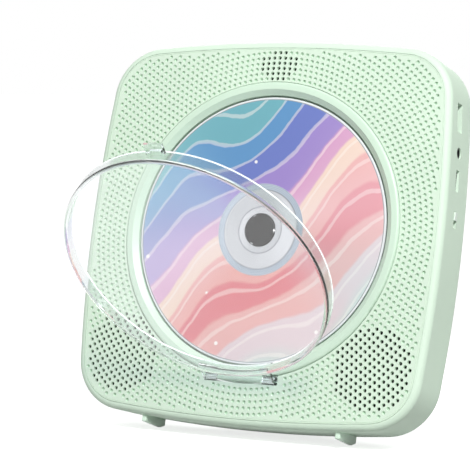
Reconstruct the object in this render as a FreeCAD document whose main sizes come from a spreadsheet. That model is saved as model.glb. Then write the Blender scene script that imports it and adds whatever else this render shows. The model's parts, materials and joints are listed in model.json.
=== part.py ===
import FreeCAD, Part
import math
import os
import re
import Sketcher

# Local frame while modelling: x to the right, y from the front face back, z up,
# origin at the centre of the disc on the front face. Lengths are in mm, angles in degrees.
SIZES = (
    ("ring_margin", "19.9", "raised ring to the body's side"),
    ("half_size", "=bead_outer + ring_margin", "half the width and height of the body"),
    ("side_arc", "672", "radius of the slightly bowed sides"),
    ("corner_arc", "23.7", "corner radius of the outline"),
    ("arc_reach", "=side_arc - half_size", "side arc centre to body centre"),
    ("ring_rise", "1.2", "disc centre above the body centre"),
    ("rear_deep", "8", "depth of the rear cover"),
    ("depth", "=parting + rear_deep", "front face to back face"),
    ("parting", "19.5", "front face to the rear cover"),
    ("wall", "2.2", "side and rear wall"),
    ("inner_back", "=depth - wall", "front face to the inside of the back"),
    ("front_round", "3", "front edge rounding"),
    ("rear_round", "4", "rear edge rounding"),
    ("wall_behind", "2", "front wall behind the panel"),
    ("front_wall", "=panel_thick + wall_behind", "front face to the back of the front wall"),
    ("overrun", "1", "how far a cutter runs past a face"),
    ("pick_slack", "0.001", "tolerance when edges are picked by depth"),
    ("lean", "15.3", "angle the body leans back"),
    ("fit", "0.05", "radial running fit"),
    ("grip", "0.02", "radial gap of a fixed pin or screw"),

    ("panel_margin", "3", "body edge to the perforated panel's seat"),
    ("panel_gap", "0.15", "gap round the perforated panel"),
    ("panel_edge", "=panel_margin + panel_gap", "body edge to the panel"),
    ("panel_thick", "1.6", "perforated panel"),
    ("hole_radius", "0.85", "panel hole"),
    ("row_drop", "0.3", "centre of the innermost ring of holes below the disc centre"),
    ("row_sink", "0.2", "each next ring's centre below the last, down to the body's centre"),
    ("row_pitch", "2.58", "between rings of holes"),
    ("hole_pitch", "2.7", "between holes along a ring"),
    ("row_start", "1.7", "raised ring to the innermost ring of holes"),
    ("first_row", "=bead_outer + row_start", "radius of the innermost ring of holes"),
    ("window_strip", "=half_size - ring_rise - panel_edge - bead_outer", "panel height above the raised ring"),
    ("window_set", "0.4", "remote window below the middle of that height"),
    ("window_rise", "=bead_outer + window_strip / 2 - window_set", "remote window above the disc centre"),
    ("window_half", "9.3", "half width of the remote window"),
    ("window_margin", "0.8", "remote window to the panel's edges"),
    ("window_tall", "=window_strip / 2 - window_margin", "half height of the remote window"),

    ("bead_outer", "=bead_inner + bead_wide", "outer radius of the raised ring"),
    ("bead_wide", "3.6", "width of the raised ring"),
    ("bead_round", "1.3", "edge rounding of the raised ring"),
    ("bead_lift", "1", "raised ring above the front face"),
    ("ledge_wide", "2.4", "width of the slope round the well"),
    ("bead_inner", "=well_radius + ledge_wide", "inner radius of the raised ring"),
    ("tray_gap", "0.1", "tray to its opening"),
    ("tray_radius", "=bead_outer - tray_gap", "outer radius of the tray"),
    ("shelf_depth", "0.9", "front face to the foot of the slope"),
    ("slope_over", "=overrun * ledge_wide / (bead_lift + shelf_depth)", "slope past its two ends"),
    ("disc_gap", "0.9", "disc to the well's wall"),
    ("well_radius", "=disc_radius + disc_gap", "well that takes the disc"),
    ("floor_room", "1.7", "disc to the well floor"),
    ("floor_depth", "=disc_back + floor_room", "front face to the well floor"),
    ("floor_thick", "1.6", "well floor"),
    ("tray_back", "=floor_depth + floor_thick", "front face to the back of the tray"),
    ("hub_room", "1.1", "turntable flange to its opening"),
    ("hub_opening", "=table_radius + hub_room", "opening for the turntable"),
    ("lens_end", "=lens_start + lens_travel", "pickup lens from the spindle at the end of its travel"),
    ("slot_room", "0.6", "lens carrier to the end of the pickup slot"),
    ("slot_reach", "=lens_end + carrier_out + slot_room", "outer end of the pickup slot"),
    ("slot_aside", "6", "lens carrier to the side of the pickup slot"),
    ("slot_half", "=carrier_half + slot_aside", "half width of the pickup slot"),
    ("ear_out", "3.3", "raised ring to the ears' screws"),
    ("ear_ring", "=bead_outer + ear_out", "radius to the tray's screw ears"),
    ("ear_radius", "4.2", "screw ear"),

    ("hinge_in", "0.5", "raised ring to the hinge axis"),
    ("hinge_drop", "=bead_outer - hinge_in", "hinge axis below the disc centre"),
    ("hinge_back", "0.3", "hinge axis behind the front face"),
    ("knuckle_radius", "1.5", "hinge barrel"),
    ("knuckle_half", "10.8", "half length of the tray's barrel"),
    ("knuckle_gap", "0.4", "tray barrel to cover barrel"),
    ("web_half", "1.1", "half height of the web behind the tray's barrel"),
    ("hinge_pin", "0.8", "hinge pin radius"),
    ("pin_seat", "3", "hinge pin length inside the tray's barrel"),
    ("pin_short", "0.4", "hinge pin end below the cover barrel's end"),
    ("slot_side", "0.6", "hinge slot beyond the cover barrels"),
    ("slot_under", "1", "hinge barrel to the slot's lower end"),
    ("slot_low", "=hinge_drop + knuckle_radius + slot_under", "lower end of the hinge slot"),

    ("lid_gap", "3.5", "dust cover to the raised ring"),
    ("lid_radius", "=bead_inner - lid_gap", "dust cover"),
    ("lid_front", "6.8", "dust cover in front of the face when shut"),
    ("lid_deep", "7", "dust cover front to rim"),
    ("lid_skin", "1.6", "dust cover face"),
    ("lid_wall", "1.8", "dust cover rim"),
    ("lid_inner", "=lid_radius - lid_wall", "dust cover inside"),
    ("lid_round", "1.5", "dust cover edge rounding"),
    ("lid_open", "51", "angle the dust cover stands open"),
    ("leaf_half", "17", "half width of the hinge leaf"),
    ("leaf_front", "3", "hinge leaf in front of the face when shut"),
    ("leaf_thick", "1.4", "hinge leaf"),
    ("leaf_over", "0.6", "hinge leaf beyond the hinge axis"),
    ("leaf_end", "=hinge_drop + leaf_over", "outer radius of the hinge leaf"),
    ("root_in", "1", "leaf and tab root inside the cover's rim"),
    ("leaf_root", "=lid_radius - root_in", "inner radius of the leaf and the tab"),
    ("tab_half", "4.3", "half width of the finger tab"),
    ("tab_out", "5.1", "finger tab beyond the cover's rim"),
    ("tab_end", "=lid_radius + tab_out", "outer radius of the finger tab"),
    ("tab_front", "2.6", "finger tab in front of the face when shut"),
    ("tab_thick", "1.4", "finger tab"),
    ("catch_half", "2.6", "half width of the catch"),
    ("catch_out", "1.2", "catch beyond the cover's rim"),
    ("catch_end", "=lid_radius + catch_out", "outer radius of the catch"),
    ("catch_deep", "1.4", "catch below the finger tab"),

    ("disc_radius", "60", "disc"),
    ("disc_bore", "7.5", "disc hole"),
    ("disc_thick", "1.2", "disc"),
    ("disc_depth", "1.3", "front face to the disc's label"),
    ("disc_back", "=disc_depth + disc_thick", "front face to the disc's read side"),
    ("hub_gap", "0.3", "turntable nose to the disc hole"),
    ("hub_radius", "=disc_bore - hub_gap", "turntable nose"),
    ("hub_proud", "0.4", "turntable nose in front of the disc"),
    ("hub_depth", "=disc_depth - hub_proud", "front face to the turntable nose"),
    ("hub_round", "0.6", "turntable nose rounding"),
    ("table_radius", "14.5", "turntable flange"),
    ("table_thick", "1.4", "turntable flange"),
    ("stem_radius", "4", "turntable stem"),
    ("stem_gap", "1.4", "turntable stem to the motor"),
    ("stem_end", "=plate_back - stem_gap", "front face to the stem's end"),
    ("shaft_radius", "1", "spindle"),
    ("nose_skin", "1.3", "turntable nose in front of the spindle"),
    ("shaft_start", "=hub_depth + nose_skin", "front face to the spindle's front end"),
    ("ball_radius", "1.1", "clamp ball"),
    ("ball_gap", "0.05", "clamp balls to the disc hole"),
    ("ball_slack", "0.08", "clamp balls in their pockets"),
    ("pocket_radius", "=ball_radius + ball_slack", "pocket of a clamp ball"),
    ("ball_ring", "=disc_bore - ball_radius - ball_gap", "radius to the clamp balls"),
    ("ball_low", "0.2", "clamp balls behind the disc's middle"),
    ("ball_depth", "=disc_depth + disc_thick / 2 + ball_low", "front face to the clamp balls"),

    ("damper_tall", "1.6", "rubber damper"),
    ("plate_depth", "=tray_back + damper_tall", "front face to the deck plate"),
    ("plate_thick", "2", "deck plate"),
    ("plate_back", "=plate_depth + plate_thick", "front face to the back of the deck plate"),
    ("plate_tail", "20", "deck plate beyond the spindle motor"),
    ("plate_left", "=motor_radius + plate_tail", "deck plate left of the spindle"),
    ("plate_lip", "1", "deck plate beyond the rod rests"),
    ("plate_right", "=rest_right + rest_thick + plate_lip", "deck plate right of the spindle"),
    ("plate_aside", "6", "lead screw to the deck plate's edge"),
    ("plate_half", "=screw_side + plate_aside", "half height of the deck plate"),
    ("gate_gap", "2.3", "lens carrier to the pickup window's ends"),
    ("gate_left", "=lens_start - carrier_in - gate_gap", "inner end of the pickup window"),
    ("gate_right", "=lens_end + carrier_out + gate_gap", "outer end of the pickup window"),
    ("gate_aside", "8.5", "lens carrier to the pickup window's sides"),
    ("gate_half", "=carrier_half + gate_aside", "half width of the pickup window"),
    ("motor_radius", "12", "spindle motor"),
    ("motor_deep", "8", "spindle motor"),
    ("motor_hole", "5", "deck plate hole for the turntable stem"),
    ("rod_radius", "1.5", "guide rod"),
    ("rod_side", "17", "guide rods either side of the spindle"),
    ("rod_drop", "3.2", "deck plate to the guide rods"),
    ("rod_depth", "=plate_back + rod_drop", "front face to the guide rods"),
    ("rest_clear", "2.3", "pickup at rest to the rod rests"),
    ("rest_left", "=lens_start - block_in - rest_clear - rest_thick", "inner end of the rod rests"),
    ("rest_thick", "2.8", "rod rest"),
    ("rest_half", "2.6", "half width of a rod rest"),
    ("rest_skin", "0.9", "rod rest behind its rod"),
    ("rest_back", "=rod_depth + rod_radius + rest_skin", "front face to the back of a rod rest"),
    ("motor_gap", "2.5", "spindle motor to the pickup at rest"),
    ("lens_start", "=motor_radius + motor_gap + block_in", "pickup lens from the spindle at rest"),
    ("lens_margin", "2", "disc edge to the outermost track"),
    ("lens_travel", "=disc_radius - lens_margin - lens_start", "pickup travel"),
    ("block_in", "9.5", "pickup towards the spindle from the lens"),
    ("block_out", "6", "pickup away from the spindle from the lens"),
    ("rest_gap", "0.6", "pickup to the outer rod rests at the end of its travel"),
    ("rest_right", "=lens_end + block_out + rest_gap", "inner face of the outer rod rests"),
    ("block_lap", "3.5", "pickup beyond the guide rods"),
    ("block_half", "=rod_side + block_lap", "half length of the pickup"),
    ("block_fore", "2", "pickup in front of the guide rods' axes"),
    ("block_front", "=rod_depth - block_fore", "front face to the pickup"),
    ("block_aft", "2.2", "pickup behind the guide rods' axes"),
    ("block_back", "=rod_depth + block_aft", "front face to the back of the pickup"),
    ("lens_radius", "2.4", "objective lens"),
    ("lens_air", "1.5", "disc to the lens"),
    ("lens_front", "=disc_back + lens_air", "front face to the lens"),
    ("carrier_tall", "3.5", "lens carrier"),
    ("carrier_front", "=carrier_back - carrier_tall", "front face to the lens carrier"),
    ("carrier_air", "0.9", "lens carrier to the pickup"),
    ("carrier_back", "=block_front - carrier_air", "front face to the back of the lens carrier"),
    ("carrier_half", "4", "half width of the lens carrier"),
    ("carrier_in", "8.5", "lens carrier towards the spindle from the lens"),
    ("carrier_out", "3.6", "lens carrier away from the spindle from the lens"),
    ("post_radius", "0.8", "post the lens carrier slides on"),
    ("post_in", "6", "post from the lens"),
    ("post_over", "1", "post in front of the lens carrier"),
    ("post_front", "=carrier_front - post_over", "front face to the post"),
    ("screw_radius", "1.4", "lead screw"),
    ("screw_aside", "8", "guide rod to the lead screw"),
    ("screw_side", "=rod_side + screw_aside", "lead screw below the spindle"),
    ("screw_drop", "2.2", "guide rods' axes to the lead screw's"),
    ("screw_depth", "=rod_depth + screw_drop", "front face to the lead screw"),
    ("nut_skin", "2", "nut wall on the pickup"),
    ("nut_half", "=screw_radius + nut_skin", "half size of the nut on the pickup"),
    ("nut_in", "5", "half length of the nut"),
    ("sled_radius", "5", "sled motor"),
    ("sled_long", "23.4", "sled motor"),
    ("sled_left", "=sled_long - rest_left", "sled motor left of the spindle"),
    ("screw_sink", "8", "lead screw length inside the sled motor"),
    ("rest_aside", "1.8", "lead screw to the sides of its rests"),
    ("rest_low", "=screw_radius + rest_aside", "half width of the lead screw's rests"),
    ("rest_under", "2", "lead screw's rests behind it"),
    ("rest_deep", "=screw_depth + screw_radius + rest_under", "front face to the back of those rests"),
    ("foot_inset", "6", "deck screws from the plate's left edge"),
    ("foot_left", "=plate_left - foot_inset", "deck screws left of the spindle"),
    ("foot_back", "11.4", "deck screws from the plate's right edge"),
    ("foot_right", "=plate_right - foot_back", "deck screws right of the spindle"),
    ("foot_edge", "5", "deck screws from the plate's long edges"),
    ("foot_high", "=plate_half - foot_edge", "deck screws above and below the spindle"),
    ("damper_radius", "4", "rubber damper"),
    ("deck_shank", "1.3", "deck screw"),
    ("deck_head", "2.6", "deck screw head"),
    ("head_thick", "1.2", "small screw head"),
    ("deck_head_thick", "0.9", "deck screw head, low enough for the pickup to pass behind it"),
    ("deck_bite", "1.1", "deck screw length in the tray"),

    ("speaker_turn", "44", "speakers below the level of the disc centre, as an angle"),
    ("speaker_gap", "0.5", "speaker flange to the raised ring"),
    ("speaker_reach", "=bead_outer + speaker_gap + flange_radius", "disc centre to the speakers"),
    ("speaker_side", "=speaker_reach * cos(speaker_turn)", "speaker centre to the middle"),
    ("speaker_drop", "=speaker_reach * sin(speaker_turn)", "speaker centre below the disc centre"),
    ("zone_over", "0.7", "field of holes beyond the speaker flange"),
    ("speaker_zone", "=flange_radius + zone_over", "radius of the speaker's field of holes"),
    ("flange_wide", "2.3", "width of the speaker flange"),
    ("speaker_window", "=flange_radius - flange_wide", "speaker opening in the front wall"),
    ("flange_radius", "17.5", "speaker flange"),
    ("flange_thick", "1.2", "speaker flange"),
    ("basket_top", "=speaker_window + basket_skin", "wide radius of the speaker basket"),
    ("magnet_rim", "0.6", "speaker basket beyond its magnet"),
    ("basket_base", "=magnet_radius + magnet_rim", "narrow radius of the speaker basket"),
    ("basket_deep", "4.7", "speaker basket"),
    ("basket_skin", "1.4", "speaker basket wall"),
    ("cone_set", "0.6", "front wall to the cone's edge"),
    ("cone_start", "=front_wall + cone_set", "front face to the cone's edge"),
    ("cone_base", "5", "narrow radius of the cone"),
    ("cone_room", "0.5", "cone short of the basket's depth"),
    ("cone_deep", "=basket_deep - cone_room", "cone"),
    ("cone_skin", "0.6", "cone paper"),
    ("magnet_radius", "10", "speaker magnet"),
    ("magnet_deep", "6", "speaker magnet"),

    ("port_front", "=usb_depth + usb_tall", "front face to the port board"),
    ("board_thick", "1.2", "circuit board"),
    ("port_wide", "11.5", "width of the port board"),
    ("port_left", "=port_right - port_wide", "left edge of the port board"),
    ("port_sunk", "7", "body side to the port board"),
    ("port_right", "=half_size - port_sunk", "right edge of the port board"),
    ("port_head", "6.9", "port board above the wide socket"),
    ("port_top", "=usb_rise + usb_half + port_head", "top of the port board"),
    ("port_tail", "14.5", "port board below the slide switch"),
    ("port_low", "=switch_half + port_tail - switch_rise", "bottom of the port board below the disc centre"),
    ("port_lap", "0.8", "side openings inside the board's edge"),
    ("port_inner", "=port_right - port_lap", "where the side openings start"),
    ("usb_pitch", "15.5", "audio jack to the wide socket"),
    ("usb_rise", "=jack_rise + usb_pitch", "wide socket above the disc centre"),
    ("usb_depth", "11.1", "front face to the wide socket's centre"),
    ("usb_half", "7.1", "half width of the wide socket"),
    ("usb_tall", "3.3", "half height of the wide socket"),
    ("usb_sunk", "5.6", "body side to the wide socket's face"),
    ("usb_mouth", "=half_size - usb_sunk", "face of the wide socket"),
    ("usb_deep", "14", "wide socket"),
    ("usb_skin", "0.6", "wide socket's shell"),
    ("usb_back", "2.6", "wide socket's back wall"),
    ("tongue_thick", "1.9", "wide socket's tongue"),
    ("tongue_aside", "1.7", "tongue to the wide socket's ends"),
    ("tongue_half", "=usb_half - tongue_aside", "half width of the tongue"),
    ("tongue_short", "1.4", "tongue behind the socket's face"),
    ("mouth_lip", "0.7", "side wall over the wide socket's ends"),
    ("mouth_half", "=usb_half - mouth_lip", "half width of the wide opening"),
    ("mouth_tall", "=usb_tall - usb_skin", "half height of the wide opening"),
    ("jack_pitch", "12.2", "charging socket to the audio jack"),
    ("jack_rise", "=charge_rise + jack_pitch", "audio jack above the disc centre"),
    ("jack_depth", "=port_front - jack_tall", "front face to the audio jack"),
    ("jack_half", "3.2", "half width of the audio jack"),
    ("jack_tall", "2.6", "half height of the audio jack"),
    ("jack_long", "12.1", "audio jack's block"),
    ("jack_left", "=jack_face - jack_long", "inner end of the audio jack"),
    ("nose_long", "2.4", "audio jack's nose"),
    ("jack_face", "=jack_nose - nose_long", "shoulder of the audio jack"),
    ("jack_sunk", "1.8", "body side to the audio jack's nose"),
    ("jack_nose", "=half_size - jack_sunk", "end of the audio jack's nose"),
    ("nose_wall", "0.6", "audio jack nose wall"),
    ("nose_radius", "=plug_radius + nose_wall", "audio jack nose"),
    ("plug_radius", "1.8", "audio jack bore"),
    ("plug_deep", "12", "audio jack bore"),
    ("charge_pitch", "16.8", "slide switch to the charging socket"),
    ("charge_rise", "=switch_rise + charge_pitch", "charging socket above the disc centre"),
    ("charge_lift", "1.2", "port board to the charging socket"),
    ("charge_depth", "=port_front - charge_lift - charge_tall", "front face to the charging socket"),
    ("charge_half", "4.5", "half width of the charging socket"),
    ("charge_tall", "1.6", "half height of the charging socket"),
    ("charge_long", "8.8", "charging socket"),
    ("charge_left", "=charge_mouth - charge_long", "inner end of the charging socket"),
    ("charge_sunk", "1.6", "body side to the charging socket's face"),
    ("charge_mouth", "=half_size - charge_sunk", "face of the charging socket"),
    ("charge_skin", "0.35", "charging socket's shell"),
    ("charge_back", "1.4", "charging socket's back wall"),
    ("blade_aside", "1.2", "blade to the charging socket's ends"),
    ("blade_half", "=charge_half - blade_aside", "half width of the charging socket's blade"),
    ("blade_thick", "0.7", "charging socket's blade"),
    ("blade_short", "1.2", "blade behind the socket's face"),
    ("opening_gap", "0.2", "side openings round the sockets"),
    ("switch_rise", "9.5", "slide switch above the disc centre"),
    ("switch_depth", "=port_front - switch_tall", "front face to the slide switch"),
    ("switch_end", "1.4", "slide switch beyond its slot"),
    ("switch_half", "=knob_half + knob_travel / 2 + knob_gap + switch_end", "half length of the slide switch"),
    ("switch_tall", "2", "half height of the slide switch"),
    ("switch_long", "7.4", "slide switch"),
    ("switch_left", "=switch_face - switch_long", "inner end of the slide switch"),
    ("switch_sunk", "3.4", "body side to the slide switch's face"),
    ("switch_face", "=half_size - switch_sunk", "face of the slide switch"),
    ("knob_half", "1.85", "half length of the slide knob"),
    ("knob_tall", "1.2", "half height of the slide knob"),
    ("knob_travel", "2.8", "slide knob travel"),
    ("knob_sunk", "2.4", "slide knob inside the slide switch"),
    ("knob_root", "=switch_face - knob_sunk", "inner end of the slide knob"),
    ("knob_proud", "0.4", "slide knob beyond the body's side"),
    ("knob_end", "=half_size + knob_proud", "outer end of the slide knob"),
    ("knob_gap", "0.35", "slide knob to the ends of its slot"),
    ("peg_radius", "2.5", "posts for the boards"),
    ("peg_high_in", "5", "upper post from the port board's edge"),
    ("peg_high_side", "=port_right - peg_high_in", "upper port board post from the middle"),
    ("peg_high_under", "3.6", "upper post from the port board's top"),
    ("peg_high_rise", "=port_top - peg_high_under", "upper port board post above the disc centre"),
    ("peg_low_in", "3.5", "lower post from the port board's edge"),
    ("peg_low_side", "=port_right - peg_low_in", "lower port board post from the middle"),
    ("peg_low_over", "4", "lower post from the port board's bottom"),
    ("peg_low_drop", "=port_low - peg_low_over", "lower port board post below the disc centre"),
    ("tiny_shank", "1", "board screw"),
    ("tiny_head", "2", "board screw head"),
    ("tiny_long", "5", "board screw"),

    ("main_lift", "5.1", "main board to the inside of the back"),
    ("main_front", "=inner_back - main_lift - board_thick", "front face to the main board"),
    ("main_half", "38", "half width of the main board"),
    ("main_low", "14", "bottom of the main board above the disc centre"),
    ("main_tall", "42", "height of the main board"),
    ("main_high", "=main_low + main_tall", "top of the main board above the disc centre"),
    ("main_inset", "4", "main board screws from its edges"),
    ("chip_thick", "1.4", "chips"),
    ("chip_half", "5", "half size of a chip"),
    ("chip_pitch", "16", "between chips"),
    ("well_side", "=stand_half + recess_gap + recess_wall", "middle to the outside of the stand's recess"),
    ("cell_wide", "32", "width of the battery"),
    ("cell_left", "=cell_right + cell_wide", "left side of the battery"),
    ("cell_clear", "1.7", "battery rib to the stand's recess"),
    ("cell_right", "=well_side + rib_thick + cell_gap + cell_clear", "right side of the battery"),
    ("cell_low", "46", "bottom of the battery below the disc centre"),
    ("cell_high", "10", "top of the battery above the disc centre"),
    ("cell_thick", "6", "battery"),
    ("cell_gap", "0.2", "battery to its ribs"),
    ("rib_thick", "1.6", "battery rib"),
    ("rib_tall", "4.4", "battery rib"),

    ("key_pitch", "15", "between keys"),
    ("key_depth", "12", "front face to the keys"),
    ("key_half", "5", "half length of a key"),
    ("key_tall", "2.6", "half width of a key"),
    ("key_proud", "0.8", "key above the top face"),
    ("key_gap", "0.15", "key to its opening"),
    ("key_flange", "1", "key flange beyond the key"),
    ("key_seat", "0.45", "key flange to the wall"),
    ("key_thick", "1.2", "key flange"),
    ("key_travel", "0.6", "key travel"),
    ("key_air", "0.3", "pressed key to its switch"),
    ("key_rod", "1.65", "key stem below its flange"),
    ("keys_top", "=half_size - ring_rise - wall - key_seat - key_thick - key_rod", "foot of the keys' stems"),
    ("keys_bottom", "=keys_top - key_air - key_travel - tact_tall - board_thick",
     "underside of the key board above the disc centre"),
    ("keys_margin", "14", "key board beyond the outer keys' centres"),
    ("keys_half", "=2 * key_pitch + keys_margin", "half width of the key board"),
    ("keys_fore", "3.2", "key board in front of the keys' middle"),
    ("keys_front", "=key_depth - keys_fore", "front face to the key board"),
    ("keys_aft", "6.5", "key board behind the keys' middle"),
    ("keys_back", "=key_depth + keys_aft", "front face to the back of the key board"),
    ("tact_half", "3", "half size of a key switch"),
    ("tact_tall", "3", "key switch"),
    ("rail_wide", "7", "width of the key board's rails"),
    ("rail_in", "=keys_half - rail_wide", "inner side of the key board's rails"),
    ("rail_tall", "3", "key board rail"),
    ("rail_mid", "=keys_half - rail_wide / 2", "key board screws from the middle"),
    ("eye_half", "3", "half width of the remote receiver"),
    ("eye_gap", "1.6", "front wall to the remote receiver"),
    ("eye_front", "=front_wall + eye_gap", "front face to the remote receiver"),
    ("eye_low", "=window_rise - eye_half", "bottom of the remote receiver above the disc centre"),
    ("eye_high", "=window_rise + eye_half", "top of the remote receiver above the disc centre"),

    ("boss_radius", "3.4", "screw boss in the shell"),
    ("post_round", "4.4", "screw post in the rear cover"),
    ("boss_high_in", "24.8", "upper cover screws from the body's side"),
    ("boss_high_side", "=half_size - boss_high_in", "upper cover screws from the middle"),
    ("boss_high_under", "13.6", "upper cover screws from the body's top"),
    ("boss_high_rise", "=half_size - ring_rise - boss_high_under", "upper cover screws above the disc centre"),
    ("boss_gap", "1.1", "screw post to the stand's recess"),
    ("boss_low_side", "=well_side + post_round + boss_gap", "lower cover screws from the middle"),
    ("base_drop", "=half_size + ring_rise", "underside below the disc centre"),
    ("boss_low_over", "10", "lower cover screws from the underside"),
    ("boss_low_drop", "=base_drop - boss_low_over", "lower cover screws below the disc centre"),
    ("cover_shank", "1.5", "cover screw"),
    ("cover_head", "2.8", "cover screw head"),
    ("sink_gap", "0.3", "cover screw head to its recess"),
    ("cover_sink", "=cover_head + sink_gap", "cover screw recess"),
    ("cover_sunk", "4.3", "back face to the cover screw head's seat"),
    ("cover_seat", "=depth - cover_sunk", "front face to the cover screw head's seat"),
    ("cover_thick", "1.6", "cover screw head"),
    ("cover_bite", "7.5", "cover screw length in the shell"),
    ("cover_end", "=parting - cover_bite", "front face to the cover screw's end"),
    ("tray_shank", "1.25", "tray screw"),
    ("tray_head", "2.4", "tray screw head"),
    ("tray_bite", "1.5", "tray screw length in the front wall"),

    ("fin_out", "11.5", "lower cover screws to the feet"),
    ("fin_side", "=boss_low_side + fin_out", "foot from the middle"),
    ("fin_half", "1.15", "half width of a foot"),
    ("fin_front", "3", "front face to the foot"),
    ("fin_heel", "4", "flat heel of the foot"),
    ("fin_tip_back", "=fin_end - fin_heel", "front face to the lowest point of the foot"),
    ("fin_long", "18.5", "foot"),
    ("fin_end", "=fin_front + fin_long", "front face to the foot's end"),
    ("fin_low", "1.3", "foot's front end below the underside's middle"),
    ("fin_front_drop", "=base_drop + fin_low", "foot's front end below the disc centre"),
    ("fin_fall", "1.2", "foot's fall from its front end to its heel"),
    ("fin_tip_drop", "=fin_front_drop + fin_fall", "foot's lowest point below the disc centre"),
    ("fin_sunk", "5", "foot's root above the underside"),
    ("fin_root_drop", "=base_drop - fin_sunk", "foot's root below the disc centre"),

    ("stand_half", "28", "half width of the stand"),
    ("stand_thick", "4", "stand"),
    ("stand_reach", "62", "stand axis to the stand's end"),
    ("stand_in", "2.7", "back face to the stand's axis"),
    ("stand_back", "=depth - stand_in", "front face to the stand's axis"),
    ("stand_rise", "19.5", "stand's axis above the underside"),
    ("stand_drop", "=base_drop - stand_rise", "stand's axis below the disc centre"),
    ("stand_pin", "1.2", "stand pin radius"),
    ("recess_gap", "0.5", "stand to its recess"),
    ("recess_wall", "2", "wall round the recess"),
    ("pad_long", "8", "rubber pad"),
    ("pad_half", "20", "half width of the rubber pad"),
)
LINE_SHARES = (-2, -1, 0, 1, 2)
CHIP_SHARES = (-1, 0, 1)
BALL_SHARES = (0, 1, 2)
EAR_ANGLES = (50, 130, 192, 348)
SIDES = (("left", "-"), ("right", ""))
MIDDLE = ("0", "0")

doc = FreeCAD.newDocument("player")
sheet = doc.addObject("Spreadsheet::Sheet", "dims")
for row, (alias, value, note) in enumerate(SIZES, 1):
    sheet.set("A%d" % row, note)
    sheet.set("B%d" % row, value)
    sheet.setAlias("B%d" % row, alias)
doc.recompute()

NAMES = re.compile(r"\b(%s)\b" % "|".join(alias for alias, _, _ in SIZES))
ZERO = FreeCAD.Vector()
TURNS = {
    "x": FreeCAD.Rotation(FreeCAD.Vector(0, 1, 0), 90),
    "y": FreeCAD.Rotation(FreeCAD.Vector(1, 0, 0), -90),
    "z": FreeCAD.Rotation(),
}
nodes = []


def size(alias):
    """A value of the sheet as a plain number."""
    return float(sheet.get(alias))


def bind(obj, prop, text):
    """Drive a property by an expression written in the sheet's names."""
    obj.setExpression(prop, NAMES.sub(r"dims.\1", text))


def place(obj, *corner):
    for axis, text in zip("xyz", corner):
        bind(obj, "Placement.Base." + axis, text)


def span(low, high):
    return "(%s) - (%s)" % (high, low)


def about(centre, half):
    """The two ends of a length that lies evenly about a centre."""
    return ("%s - (%s)" % (centre, half), "%s + %s" % (centre, half))


def box(label, x, y, z):
    """A box between two expressions on each axis."""
    obj = doc.addObject("Part::Box", label)
    for prop, ends in zip(("Length", "Width", "Height"), (x, y, z)):
        bind(obj, prop, span(*ends))
    place(obj, x[0], y[0], z[0])
    return obj


def solid(kind, label, axis, ends, centre, **props):
    """A turned primitive along one axis, its centre given on the other two."""
    obj = doc.addObject(kind, label)
    bind(obj, "Height", span(*ends))
    for prop, text in props.items():
        bind(obj, prop, text)
    obj.Placement = FreeCAD.Placement(ZERO, TURNS[axis])
    corner = list(centre)
    corner.insert("xyz".index(axis), ends[0])
    place(obj, *corner)
    return obj


def rod(label, axis, radius, ends, centre):
    return solid("Part::Cylinder", label, axis, ends, centre, Radius=radius)


def cone(label, radii, ends, centre):
    return solid("Part::Cone", label, "y", ends, centre, Radius1=radii[0], Radius2=radii[1])


def wedge(label, x, y, lows, top):
    """A block along y whose underside slopes from one height to another."""
    obj = doc.addObject("Part::Wedge", label)
    for prop, text in (("Xmin", x[0]), ("Xmax", x[1]), ("X2min", x[0]), ("X2max", x[1]),
                       ("Ymin", y[0]), ("Ymax", y[1]),
                       ("Zmin", lows[0]), ("Z2min", lows[1]), ("Zmax", top), ("Z2max", top)):
        bind(obj, prop, text)
    return obj


def fuse(label, *parts):
    obj = doc.addObject("Part::MultiFuse", label)
    obj.Shapes = list(parts)
    return obj


def cut(label, base, *tools):
    obj = doc.addObject("Part::Cut", label)
    obj.Base = base
    obj.Tool = tools[0] if len(tools) == 1 else fuse(label + "_tools", *tools)
    return obj


def common(label, first, second):
    obj = doc.addObject("Part::Common", label)
    obj.Base = first
    obj.Tool = second
    return obj


def group(label, *parts):
    obj = doc.addObject("Part::Compound", label)
    obj.Links = list(parts)
    return obj


def keep(obj):
    nodes.append(obj)
    return obj


def sketch(owner, label, depth):
    """A sketch across the body at a depth behind the front face."""
    obj = owner.newObject("Sketcher::SketchObject", label)
    plane = [item for item in owner.Origin.OriginFeatures if item.Role == "XZ_Plane"][0]
    obj.AttachmentSupport = [(plane, "")]
    obj.MapMode = "FlatFace"
    bind(obj, "AttachmentOffset.Base.z", "-(%s)" % depth)
    return obj


def hold(profile, kind, places, text):
    """A dimension of a sketch, driven by an expression."""
    number = profile.addConstraint(Sketcher.Constraint(kind, *places))
    bind(profile, "Constraints[%d]" % number, text)


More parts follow.
